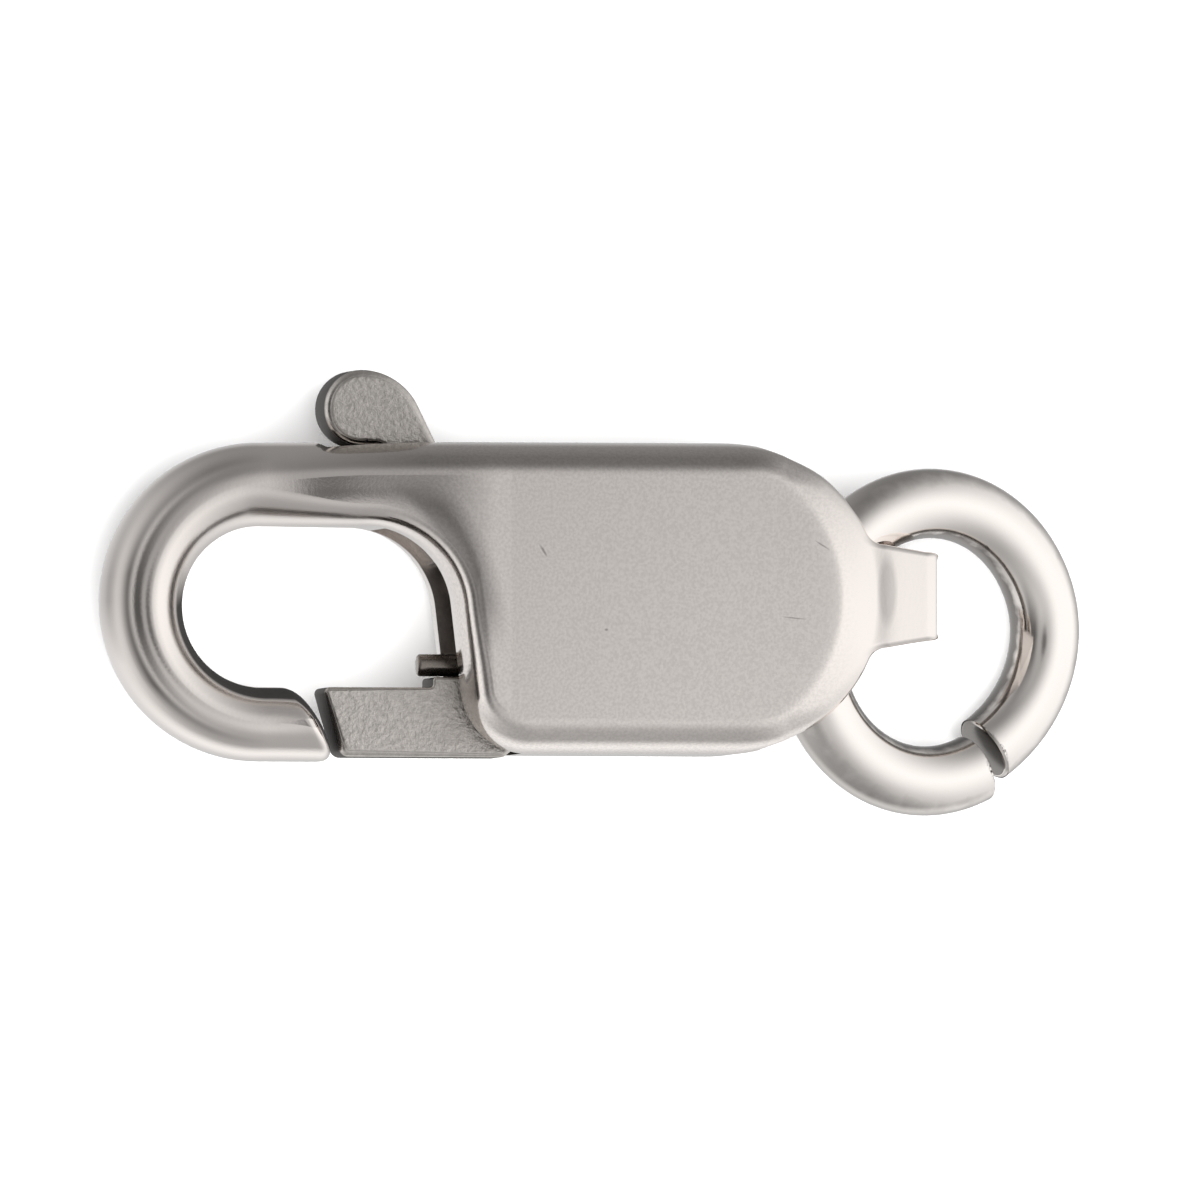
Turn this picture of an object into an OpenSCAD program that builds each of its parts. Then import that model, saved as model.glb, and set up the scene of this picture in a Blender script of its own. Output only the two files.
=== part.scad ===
// Lobster clasp with its jump ring, lying on the flat face of its back cheek.
// The origin is on the back cheek's outer face, on the trigger's pivot. +X runs from the nose to the tail,
// +Y towards the thumb lug, +Z out of the front cheek.

/* [Body] */
// Thickness of the body between its two flat faces
thick = 3.0; // [2.8:0.05:3.3]
// Outer radius of the nose
nose_r = 2.29; // [2.2:0.01:2.4]
// Distance from the pivot to the centre of the nose, along the clasp
nose_reach = 4.58; // [4.45:0.01:4.8]
// Height of the nose's centre over the pivot
nose_rise = 1.14; // [1.1:0.01:1.18]
// Outer radius of the rear end
rear_r = 2.24; // [2.15:0.01:2.3]
// Distance from the pivot to the centre of the rear end, along the clasp
rear_reach = 2.07; // [1.95:0.01:2.4]
// Height of the rear end's centre over the pivot
rear_rise = 1.2; // [1.15:0.01:1.25]
// Thickness of each cheek beside the trigger
cheek = 0.86; // [0.8:0.01:0.92]
// Width of the rounded edge round the flat faces
rim = 0.5; // [0.42:0.01:0.52]
// Height of the rounded edge round the flat faces
rim_h = 0.88; // [0.75:0.01:0.95]

/* [Hook] */
// Thickness of the hook at the nose
hook_t = 2.0; // [1.9:0.05:2.3]
// Length of the slope from the nose's centre up to the flat faces
rise_l = 3.2; // [3:0.05:3.4]
// Width of the hook's band under the opening
band = 1.065; // [1.02:0.005:1.12]
// Width of the hook's band at the nose
band_nose = 1.16; // [1.12:0.01:1.2]
// Width of the hook's band over the opening
band_top = 1.2; // [1.14:0.01:1.26]
// Distance from the pivot to the widest point of the mouth
mouth_reach = 1.87; // [1.8:0.01:1.95]
// Radius of the mouth's upper corner
mouth_r = 1.27; // [1.15:0.01:1.35]
// Lean of the mouth's straight wall
mouth_lean = 6.6; // [4:0.1:9]
// Radius of the cheek's lower lip
lip_r = 0.98; // [0.85:0.01:1.1]
// Distance from the pivot to the foot of the hook's rounded tip
tip_reach = 4.0; // [3.9:0.01:4.15]
// Slant of the hook's tip
tip_slant = 28; // [22:1:32]
// Length of the rounding on the hook's tip
tip_round = 0.25; // [0.18:0.01:0.3]

/* [Tail] */
// Distance from the pivot to the tail's end
tail_reach = 5.21; // [5.15:0.01:5.5]
// Height of the tail's middle over the pivot
tail_rise = 1.24; // [1.18:0.01:1.3]
// Width of the tail at its neck
neck_w = 1.48; // [1.4:0.01:1.6]
// Width of the tail at its end
tail_w = 1.28; // [1.2:0.01:1.38]
// Radius of the inside corners beside the neck
neck_r = 0.3; // [0.22:0.01:0.36]
// Thickness of the tail's walls over and under the ring
tail_wall = 0.4; // [0.36:0.01:0.42]
// Thickness of the fold at the tail's end
fold = 0.46; // [0.4:0.01:0.5]
// Depth of the tail's faces under the flat faces
tail_sink = 0.36; // [0.3:0.01:0.38]
// Distance from the rear end's centre to where the faces start to slope
slope_reach = 1.64; // [1.6:0.01:1.75]
// Length of the slope from the flat faces down to the tail
slope_l = 0.5; // [0.45:0.01:0.55]
// Distance from the pivot to the front of the ring's slot
slot_reach = 2.55; // [2.45:0.01:2.65]
// Distance that the slot's roof and floor keep their height past the start of the slope
slot_lag = 0.15; // [0.12:0.01:0.2]
// Radius of the corners inside the ring's slot
slot_round = 0.3; // [0.2:0.01:0.32]
// Radius of the fold at the tail's end, outside
fold_round = 0.22; // [0.15:0.01:0.3]
// Radius of the tail's end corners, seen from the front
tail_round = 0.06; // [0.04:0.01:0.1]

/* [Trigger] */
// Thickness of the trigger's plate
plate = 0.95; // [0.85:0.01:1.05]
// Width of the gate
gate_w = 1.0; // [0.92:0.01:1.03]
// Slant of the gate's end
gate_slant = 15; // [10:1:20]
// Gap between the gate and the hook's tip
gate_gap = 0.09; // [0.07:0.01:0.13]
// Distance from the pivot to the front of the spring's step on the gate
step_reach = 2.1; // [2.05:0.01:2.15]
// Height of that step
step_h = 0.15; // [0.12:0.01:0.18]
// Radius of the trigger's eye round the pivot
eye_r = 0.6; // [0.54:0.01:0.62]
// Radius of the thumb lug's round head
lug_r = 0.55; // [0.48:0.01:0.6]
// Distance from the pivot to the centre of the lug's head, along the clasp
lug_reach = 3.13; // [3.05:0.01:3.2]
// Height of the lug's top over the body
lug_h = 1.035; // [0.95:0.005:1.2]
// Length of the lug's long flank
flank_l = 1.88; // [1.8:0.01:1.95]
// Radius of the lug's long flank
flank_r = 0.91; // [0.8:0.01:0.92]
// Room between the trigger's arm and the hook's root
root_gap = 0.2; // [0.16:0.01:0.26]
// Room under the trigger's eye
eye_room = 0.12; // [0.1:0.01:0.16]
// Distance from the pivot to the front end of the lug's slot
lug_slot_front = 3.8; // [3.74:0.01:3.9]
// Distance from the pivot to the rear end of the lug's slot
lug_slot_back = 0.3; // [0.2:0.01:0.36]
// Thickness of the body's top edge behind the lug's slot
roof = 0.5; // [0.4:0.01:0.54]
// Length of the room behind the trigger's eye
back_room = 0.65; // [0.5:0.01:0.8]

/* [Pivot pin] */
// Diameter of the pivot pin
pin_d = 0.5; // [0.42:0.01:0.54]
// Play round the pivot pin, on the radius
pin_play = 0.02; // [0.015:0.005:0.03]
// Depth of the pin's blind seats in the cheeks
pin_sink = 0.5; // [0.4:0.01:0.6]

/* [Spring] */
// Diameter of the spring's wire
spring_d = 0.32; // [0.26:0.01:0.34]
// Distance from the pivot to the spring's showing end
spring_reach = 2.263; // [2.2:0.001:2.35]
// Radius of the spring's bend, to the wire's middle
bend_r = 0.4; // [0.36:0.01:0.42]
// Distance from the pivot to the start of the bend
bend_reach = 1.2; // [1.17:0.01:1.26]
// Angle that the bend turns through
bend_turn = 135; // [131:1:137]
// Length of the spring's upper leg
leg_l = 0.9; // [0.84:0.01:0.93]
// Room between the spring's bend and the trigger's arm
spring_room = 0.28; // [0.24:0.01:0.3]
// Gap at each end of the spring
spring_gap = 0.02; // [0.015:0.005:0.03]

/* [Jump ring] */
// Outer diameter of the jump ring
ring_od = 5.0; // [4.9:0.05:5.3]
// Diameter of the jump ring's wire
ring_wire = 1.0; // [0.9:0.01:1.04]
// Distance from the pivot to the ring's wire inside the tail
hang_reach = 3.42; // [3.38:0.01:3.5]
// Height of the ring's highest point over the pivot, along Y
hang_rise = 0.94; // [0.85:0.01:1.05]
// Gap between the ring's wire and the roof of the tail's slot
ring_gap = 0.15; // [0.14:0.01:0.22]
// Turn of the ring's lean away from the clasp's length
ring_turn = 10; // [6:1:12]
// Angle of the cut, counted round the ring from the clasp's length
cut_at = 299; // [285:1:300]
// Width of the cut, as an angle
cut_w = 7; // [3:1:9]

/* [Hidden] */
over = 0.6;
mid_z = thick / 2;
cavity = thick - 2 * cheek;

nose = [-nose_reach, nose_rise];
rear = [rear_reach, rear_rise];
hole_r = nose_r - (band + band_top) / 2;
hole = [nose.x - nose_r + band_nose + hole_r, nose.y - (band_top - band) / 2];
hole_top = hole.y + hole_r;
hole_low = hole.y - hole_r;
body_top = rear.y + rear_r;
body_low = rear.y - rear_r;
arm_low = nose.y - nose_r;

mouth = [-mouth_reach - mouth_r, hole_top - mouth_r];
wall_top = on_circle(mouth, mouth_r, mouth_lean);
wall_way = [sin(mouth_lean), -cos(mouth_lean)];
wall_side = [cos(mouth_lean), sin(mouth_lean)];
wall_l = (wall_top.y + lip_r * wall_side.y - body_low - lip_r) / cos(mouth_lean);
lip = wall_top + wall_l * wall_way + lip_r * wall_side;

tip_mid = [-tip_reach, (hole_low + arm_low) / 2];
tip_half = (hole_low - arm_low) / 2 * [-tan(tip_slant), 1];
TIP_SHRINK = 0.7;
TIP_TURN = 82;
TIP_POWER = 0.6;
tip_low = tip_mid + [tip_round, 0] - TIP_SHRINK * tip_half;

neck_top = tail_rise + neck_w / 2;
neck_low = tail_rise - neck_w / 2;
neck_up = neck_centre(neck_top, 1);
neck_down = neck_centre(neck_low, -1);

// Stations of the body's outline, from the hook's tip to the tail's end
TIP_N = 4;
ARM_N = 2;
NOSE_N = 18;
BAR_N = 3;
CORNER_N = 9;
WALL_N = 3;
LIP_N = 8;
FACE_N = 3;
REAR_N = 8;
NECK_N = 5;
TAIL_N = 2;
FOLD_N = 4;
EDGE_N = 4;

// Rows of EDGES: the station where the row holds, the rounded edge's width outside and inside as shares of
// the band, and its height outside and inside as shares of the half thickness there
NOSE_END = TIP_N + ARM_N + NOSE_N;
CORNER_END = NOSE_END + BAR_N + CORNER_N;
LIP_END = CORNER_END + WALL_N + LIP_N;
FACE_END = LIP_END + FACE_N;
REAR_END = FACE_END + REAR_N;
LAST = REAR_END + NECK_N + TAIL_N + FOLD_N;
RIM_W = rim / band;
RIM_H = rim_h / mid_z;
EDGES = [
    [0, 0.49, 0.49, 0.96, 0.96],
    [NOSE_END, 0.49, 0.49, 0.96, 0.96],
    [NOSE_END + BAR_N, 0.46, 0.5, 0.72, 0.62],
    [CORNER_END, RIM_W, 0.7, RIM_H, 0.38],
    [CORNER_END + WALL_N, RIM_W, 0.5, RIM_H, 0.4],
    [LIP_END, RIM_W, RIM_W, RIM_H, RIM_H],
    [FACE_END, RIM_W, RIM_W, RIM_H, RIM_H],
    [FACE_END + REAR_N / 4, 0.4, 0.4, 0.25, 0.25],
    [REAR_END, 0.14, 0.14, 0.12, 0.12],
    [REAR_END + NECK_N, 0.09, 0.09, 0.08, 0.08],
    [LAST, 0.06, 0.06, 0.08, 0.08]
];

eye = [0, 0];
gate_top = hole_low;
gate_low = gate_top - gate_w;
step_top = gate_top + step_h;
gate_tip = tip_low.x + gate_gap - (gate_top - tip_low.y) * tan(gate_slant);
lug_top = body_top + lug_h;
FLANK_LEAN = 65;
flank_way = [-cos(FLANK_LEAN), sin(FLANK_LEAN)];
flank_top = [-lug_reach + flank_r * tan(FLANK_LEAN / 2), lug_top];
flank_low = flank_top - flank_l * flank_way;
root_top = [-lug_slot_front, body_top];
spring_y = step_top + spring_gap + spring_d / 2;
bend = [-bend_reach, spring_y + bend_r];
bend_end = bend + bend_r * [sin(bend_turn), -cos(bend_turn)];
leg_end = bend_end + leg_l * [cos(bend_turn), sin(bend_turn)];
tongue_low = leg_end.y + spring_d / 2 * abs(cos(bend_turn)) + spring_gap;
tongue = [leg_end.x + 0.4 * spring_d, tongue_low + spring_d / 3];
root_way = (tongue - root_top) / norm(tongue - root_top);
root_side = [-root_way.y, root_way.x];
// How far along the hook's root the trigger's arm meets the lug, as a share
ARM_SHARE = 0.48;
// How far past the mouth's centre the room starts, as a share of the mouth's radius
ROOM_SHARE = 0.74;
WIRE_SIDES = 12;
BEND_N = 12;
pin_r = pin_d / 2;
heel = [-eye_r - 0.55 * gate_w, gate_low];
sole = [-0.83 * eye_r, -eye_r];
waist = -bend_reach + bend_r + spring_d / 2 + spring_room;

ring_r = (ring_od - ring_wire) / 2;
slot_half = mid_z - tail_wall;
hang_z = mid_z + slot_half - ring_wire / 2 - ring_gap;
ring_lean = asin((hang_z - ring_wire / 2) / (2 * ring_r));
ring_x = hang_reach + ring_r * cos(ring_lean) * cos(ring_turn);
ring_y = hang_rise - ring_r * cos(ring_lean) * sin(ring_turn);
ring_z = hang_z - ring_r * sin(ring_lean);

function mix(a, b, t) = a + (b - a) * t;
function on_circle(c, r, a) = c + r * [cos(a), sin(a)];
function unit(v) = v / norm(v);
function smooth(t) = let (s = max(0, min(1, t))) s * s * (3 - 2 * s);

// Centre of the inside corner between the rear end's circle and a tail edge at height y
function neck_centre(y, side) =
    let (cy = y + side * neck_r)
    [rear.x + sqrt(pow(rear_r + neck_r, 2) - pow(cy - rear.y, 2)), cy];

function angle_of(v) = atan2(v.y, v.x);

// Step i of the tail's end: round the fold along X, and round the end's corner along Y
function fold_step(i, side) =
    let (a = 90 * i / FOLD_N)
    [fold_round * sin(a), side * tail_round * (1 - cos(a))];

// A corner of a rounded outline: an arc of radius r that touches both sides at b
function corner(a, b, c, r, n) =
    let (
        u = unit(a - b),
        v = unit(c - b),
        half = acos(u * v) / 2,
        o = b + unit(u + v) * r / sin(half),
        from = angle_of(b + u * r / tan(half) - o),
        side = u.x * v.y - u.y * v.x > 0 ? -1 : 1
    )
    [for (k = [0:n]) on_circle(o, r, from + side * (180 - 2 * half) * k / n)];

// An outline from rows of x, y and corner radius
function rounded(rows, n = 6) =
    let (m = len(rows))
    [for (i = [0:m - 1])
        let (
            a = rows[(i + m - 1) % m],
            b = rows[i],
            c = rows[(i + 1) % m]
        )
        each b[2] > 0 ? corner([a.x, a.y], [b.x, b.y], [c.x, c.y], b[2], n) : [[b.x, b.y]]];

// The outline's outer side, a point for each station
function outer_points() =
    let (
        a_up = angle_of(neck_up - rear),
        over_wall = [mix(wall_top.x, lip.x, 0.25), body_top],
        over_lip = [mix(wall_top.x, lip.x, 0.6), body_top],
        tail = [tail_reach - fold_round, tail_rise + tail_w / 2]
    )
    concat(
        [for (i = [0:ARM_N]) mix(tip_mid - tip_half, [nose.x, arm_low], i / ARM_N)],
        [for (i = [1:NOSE_N]) on_circle(nose, nose_r, 270 - 180 * i / NOSE_N)],
        [for (i = [1:BAR_N]) mix([nose.x, nose.y + nose_r], [mouth.x, body_top], i / BAR_N)],
        [for (i = [1:CORNER_N]) mix([mouth.x, body_top], over_wall, i / CORNER_N)],
        [for (i = [1:WALL_N]) mix(over_wall, over_lip, i / WALL_N)],
        [for (i = [1:LIP_N]) mix(over_lip, [lip.x, body_top], i / LIP_N)],
        [for (i = [1:FACE_N]) mix([lip.x, body_top], [rear.x, body_top], i / FACE_N)],
        [for (i = [1:REAR_N]) on_circle(rear, rear_r, mix(90, a_up, i / REAR_N))],
        [for (i = [1:NECK_N]) on_circle(neck_up, neck_r, mix(a_up + 180, 270, i / NECK_N))],
        [for (i = [1:TAIL_N]) mix([neck_up.x, neck_top], tail, i / TAIL_N)],
        [for (i = [1:FOLD_N]) tail + fold_step(i, -1)]
    );

// The outline's inner side, a point for each station
function inner_points() =
    let (
        a_down = angle_of(neck_down - rear) + 360,
        tail = [tail_reach - fold_round, tail_rise - tail_w / 2]
    )
    concat(
        [for (i = [0:ARM_N]) mix(tip_mid + tip_half, [hole.x, hole_low], i / ARM_N)],
        [for (i = [1:NOSE_N]) on_circle(hole, hole_r, 270 - 180 * i / NOSE_N)],
        [for (i = [1:BAR_N]) mix([hole.x, hole_top], [mouth.x, hole_top], i / BAR_N)],
        [for (i = [1:CORNER_N]) on_circle(mouth, mouth_r, mix(90, mouth_lean, i / CORNER_N))],
        [for (i = [1:WALL_N]) wall_top + wall_way * wall_l * i / WALL_N],
        [for (i = [1:LIP_N]) on_circle(lip, lip_r, mix(180 + mouth_lean, 270, i / LIP_N))],
        [for (i = [1:FACE_N]) mix([lip.x, body_low], [rear.x, body_low], i / FACE_N)],
        [for (i = [1:REAR_N]) on_circle(rear, rear_r, mix(270, a_down, i / REAR_N))],
        [for (i = [1:NECK_N]) on_circle(neck_down, neck_r, mix(a_down - 180, 90, i / NECK_N))],
        [for (i = [1:TAIL_N]) mix([neck_down.x, neck_low], tail, i / TAIL_N)],
        [for (i = [1:FOLD_N]) tail + fold_step(i, 1)]
    );

// Unit vector across a line of points at point i, to the line's right
function across(line, i) =
    let (
        a = line[max(0, i - 1)],
        b = line[min(len(line) - 1, i + 1)],
        way = unit(b - a)
    )
    [way.y, -way.x];

// Half thickness of the body at x: it rises from the hook's to the full one, falls at the tail's slope, and
// follows the fold's circle at the end
function half_at(x) =
    let (
        rise = smooth((x - nose.x) / rise_l),
        fall = smooth((x - rear.x - slope_reach) / slope_l),
        d = max(0, x - tail_reach + fold_round)
    )
    mix(hook_t / 2, mid_z, rise) - tail_sink * fall - fold_round + sqrt(pow(fold_round, 2) - d * d);

function edge_value(i, column) = lookup(i, [for (row = EDGES) [row[0], row[column]]]);

// One quarter of a section's rounded edge: p on the outline, side pointing into the metal, w and h the
// edge's width and height, half the thickness to the face and up its direction
function edge(p, side, w, h, half, up, back) =
    [for (k = [0:EDGE_N])
        let (
            a = 90 * (back ? EDGE_N - k : k) / EDGE_N,
            q = p + side * w * (1 - cos(a))
        )
        [q.x, q.y, mid_z + up * (half - h + h * sin(a))]];

// The section at a station: outer edge up to the front face, across it, inner edge down to the back face
function section(outer, inner, i) =
    let (
        s = i + TIP_N,
        half = half_at((outer[i].x + inner[i].x) / 2),
        slant = [-tan(tip_slant), 1],
        side_o = i == 0 ? slant : across(outer, i),
        side_i = i == 0 ? -slant : -across(inner, i),
        wo = band * edge_value(s, 1),
        wi = band * edge_value(s, 2),
        ho = half * edge_value(s, 3),
        hi = half * edge_value(s, 4)
    )
    concat(
        edge(outer[i], side_o, wo, ho, half, 1, false),
        edge(inner[i], side_i, wi, hi, half, 1, true),
        edge(inner[i], side_i, wi, hi, half, -1, false),
        edge(outer[i], side_o, wo, ho, half, -1, true)
    );

// The hook's rounded tip: its foot section drawn in while it moves out, more in height than in width
function tip_section(foot, k) =
    let (
        a = TIP_TURN * (TIP_N - k) / TIP_N,
        wide = mix(TIP_SHRINK, 1, cos(a)),
        high = pow(cos(a), TIP_POWER)
    )
    [for (p = foot) [
        mix(tip_mid.x, p.x, wide) + tip_round * sin(a),
        mix(tip_mid.y, p.y, wide),
        mix(mid_z, p.z, high)
    ]];

// A closed solid through sections of the same length, with a fan at each end
module loft(sections) {
    m = len(sections[0]);
    n = len(sections);
    mean = [for (s = [sections[0], sections[n - 1]]) [for (k = [0:2]) [for (p = s) p[k]] * [for (p = s) 1] / m]];
    points = concat([for (s = sections) each s], mean);
    sides = [for (i = [0:n - 2], j = [0:m - 1])
        let (
            a = i * m + j,
            b = i * m + (j + 1) % m
        )
        each [[b, a, b + m], [b + m, a, a + m]]];
    start = [for (j = [0:m - 1]) [j, (j + 1) % m, n * m]];
    end = [for (j = [0:m - 1]) [(n - 1) * m + (j + 1) % m, (n - 1) * m + j, n * m + 1]];
    polyhedron(points = points, faces = concat(sides, start, end), convexity = 8);
}

module body_solid() {
    outer = outer_points();
    inner = inner_points();
    along = [for (i = [0:len(outer) - 1]) section(outer, inner, i)];
    tip = [for (k = [0:TIP_N - 1]) tip_section(along[0], k)];
    loft(concat(tip, along));
}

// Room for the trigger and the spring: open at the mouth, under the gate and over the lug's travel
module trigger_room() {
    front = mouth.x + ROOM_SHARE * mouth_r;
    back = eye_r + back_room;
    ceiling = body_top - roof;
    translate([0, 0, cheek])
        linear_extrude(cavity)
            polygon(rounded([
                [root_top.x, body_top + over, 0],
                [root_top.x, root_top.y, 0],
                [tongue.x, tongue.y, 0],
                [tongue.x, tongue_low, 0],
                [front, tongue_low, 0],
                [front, body_low - over, 0],
                [heel.x + eye_room, body_low - over, 0],
                [heel.x + eye_room, heel.y - eye_room / 2, 0],
                [sole.x + eye_room, sole.y - eye_room, eye_room],
                [back, sole.y - eye_room, back_room / 2],
                [back, ceiling, back_room / 2],
                [-lug_slot_back, ceiling, 0],
                [-lug_slot_back, body_top + over, 0]
            ]));
}

// The ring's slot through the tail, seen from the side, with walls of one thickness round it
module ring_slot() {
    low = slot_half - tail_sink;
    far = rear.x + slope_reach + slot_lag;
    rotate([90, 0, 0])
        translate([0, mid_z, -body_top - over])
            linear_extrude(2 * rear_r + 2 * over)
                polygon(rounded([
                    [slot_reach, -slot_half, slot_round],
                    [far, -slot_half, slot_round],
                    [far + slope_l, -low, slot_round / 2],
                    [tail_reach - fold, -low, slot_round],
                    [tail_reach - fold, low, slot_round],
                    [far + slope_l, low, slot_round / 2],
                    [far, slot_half, slot_round],
                    [slot_reach, slot_half, slot_round]
                ]));
}

module body() {
    color([0.78, 0.76, 0.74])
        difference() {
            body_solid();
            trigger_room();
            ring_slot();
            translate([0, 0, cheek - pin_sink])
                cylinder(r = pin_r + pin_play, h = cavity + 2 * pin_sink, $fn = 48);
        }
}

// The gate, the arm round the spring, and the thumb lug, cut from one plate
module trigger() {
    arm_head = mix(root_top, tongue, ARM_SHARE) + root_gap * root_side;
    arm_foot = tongue + root_gap * root_side;
    color([0.7, 0.68, 0.66])
        translate([0, 0, mid_z - plate / 2])
            difference() {
                linear_extrude(plate)
                    polygon(rounded([
                        [gate_tip, gate_top, 0.08 * gate_w],
                        [gate_tip + gate_w * tan(gate_slant), gate_low, 0.12 * gate_w],
                        [heel.x, heel.y, 0.2 * gate_w],
                        [sole.x, sole.y, 0.33 * eye_r],
                        [eye_r, -eye_r, eye_r],
                        [eye_r, 1.9 * eye_r, 1.5 * eye_r],
                        [flank_low.x, flank_low.y, 0.55 * flank_r],
                        [flank_top.x, flank_top.y, flank_r],
                        [-lug_reach - lug_r, lug_top, lug_r],
                        [-lug_reach - lug_r, lug_top - 2 * lug_r, 0.98 * lug_r],
                        [-lug_reach + 0.47 * lug_r, lug_top - 2 * lug_r, 0.22 * lug_r],
                        [arm_head.x, arm_head.y, 0.55 * lug_r],
                        [arm_foot.x, arm_foot.y, 0],
                        [waist, 2.17 * eye_r, 0.58 * eye_r],
                        [waist, 1.25 * eye_r, 0.42 * eye_r],
                        [-bend_reach + spring_d, step_top, step_h / 2],
                        [-step_reach, step_top, step_h / 3],
                        [-step_reach, gate_top, step_h / 3]
                    ]));
                translate([eye.x, eye.y, -over])
                    cylinder(r = pin_r + pin_play, h = plate + 2 * over, $fn = 48);
            }
}

module pivot_pin() {
    color([0.62, 0.6, 0.58])
        translate([0, 0, cheek - pin_sink + pin_play])
            cylinder(r = pin_r, h = cavity + 2 * (pin_sink - pin_play), $fn = 48);
}

// The wire's section at a point of the spring, square to its way there
function wire_section(at, way) =
    [for (a = [0:360 / WIRE_SIDES:359])
        let (r = spring_d / 2)
        [at.x - r * cos(a) * sin(way), at.y + r * cos(a) * cos(way), mid_z + r * sin(a)]];

// One length of wire: the lower leg, the bend and the upper leg
module spring() {
    color([0.5, 0.48, 0.46])
        loft(concat(
            [wire_section([-spring_reach, spring_y], 0)],
            [for (k = [0:BEND_N])
                let (a = bend_turn * k / BEND_N)
                wire_section(bend + bend_r * [sin(a), -cos(a)], a)],
            [wire_section(leg_end, bend_turn)]
        ));
}

module jump_ring() {
    color([0.74, 0.72, 0.7])
        translate([ring_x, ring_y, ring_z])
            rotate([0, 0, -ring_turn])
                rotate([0, ring_lean, 0])
                    rotate([0, 0, cut_at + ring_turn + cut_w / 2])
                        rotate_extrude(angle = 360 - cut_w, $fn = 96)
                            translate([ring_r, 0])
                                circle(d = ring_wire, $fn = 48);
}

body();
trigger();
pivot_pin();
spring();
jump_ring();
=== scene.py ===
"""The looks of a lobster clasp and its jump ring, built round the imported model.

Every length is in metres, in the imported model's own frame. The clasp's front cheek looks along +Z.
The front half of the case is worked out on a grid of stations round its outline and columns across it.
"""

import bpy
import numpy as np
from bpy.props import FloatProperty, PointerProperty, StringProperty
from mathutils import Matrix


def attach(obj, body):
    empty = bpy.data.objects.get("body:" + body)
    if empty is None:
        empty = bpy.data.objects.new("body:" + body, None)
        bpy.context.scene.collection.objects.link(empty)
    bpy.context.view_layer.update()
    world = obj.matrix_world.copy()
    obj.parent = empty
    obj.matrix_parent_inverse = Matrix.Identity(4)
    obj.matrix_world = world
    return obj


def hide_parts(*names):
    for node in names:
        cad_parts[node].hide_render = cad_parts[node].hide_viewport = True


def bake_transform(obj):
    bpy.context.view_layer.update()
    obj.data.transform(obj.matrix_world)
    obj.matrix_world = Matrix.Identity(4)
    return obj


bl_info = {
    "name": "Lobster Clasp Finish",
    "version": (1, 0, 0),
    "blender": (4, 5, 0),
    "location": "View3D > Sidebar > Clasp",
    "description": "Polished case, sprung trigger and jump ring of a lobster clasp",
    "category": "Add Mesh",
}

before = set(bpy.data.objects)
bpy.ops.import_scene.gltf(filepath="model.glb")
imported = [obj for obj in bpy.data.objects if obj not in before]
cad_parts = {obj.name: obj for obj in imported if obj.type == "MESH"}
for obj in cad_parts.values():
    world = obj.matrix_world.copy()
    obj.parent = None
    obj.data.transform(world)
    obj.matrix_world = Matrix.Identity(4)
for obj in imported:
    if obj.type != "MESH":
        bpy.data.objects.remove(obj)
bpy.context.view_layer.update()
MM = 0.001

# How many steps each stretch of the case's outline has, from the hook's tip to the tail's end
STRETCHES = (
    ("arm", 14), ("nose", 130), ("bar", 34), ("corner", 70), ("wall", 34), ("lip", 54),
    ("face", 50), ("rear", 90), ("neck", 30), ("tail", 14), ("fold", 12),
)
TIP_STEPS = 22
EDGE_STEPS = 12
FACE_STEPS = 34
WALL_STEPS = 3

# How far a cutter reaches past the surface that it opens, and how far it stays clear of one beside it
CUT_PAST = 0.6 * MM
CUT_CLEAR = 0.02 * MM


def length(name, millimetres, text):
    """A size that a user may change, given in millimetres and kept in metres."""
    return FloatProperty(name=name, description=text, default=millimetres * MM, unit="LENGTH", precision=6)


def angle(name, degrees, text):
    """An angle that a user may change, given in degrees and kept in radians."""
    return FloatProperty(name=name, description=text, default=float(np.radians(degrees)), unit="ROTATION")


def hue(name, hex_text, text):
    """A colour that a user may change, as an sRGB hex value."""
    return StringProperty(name=name, description=text, default=hex_text)


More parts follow.
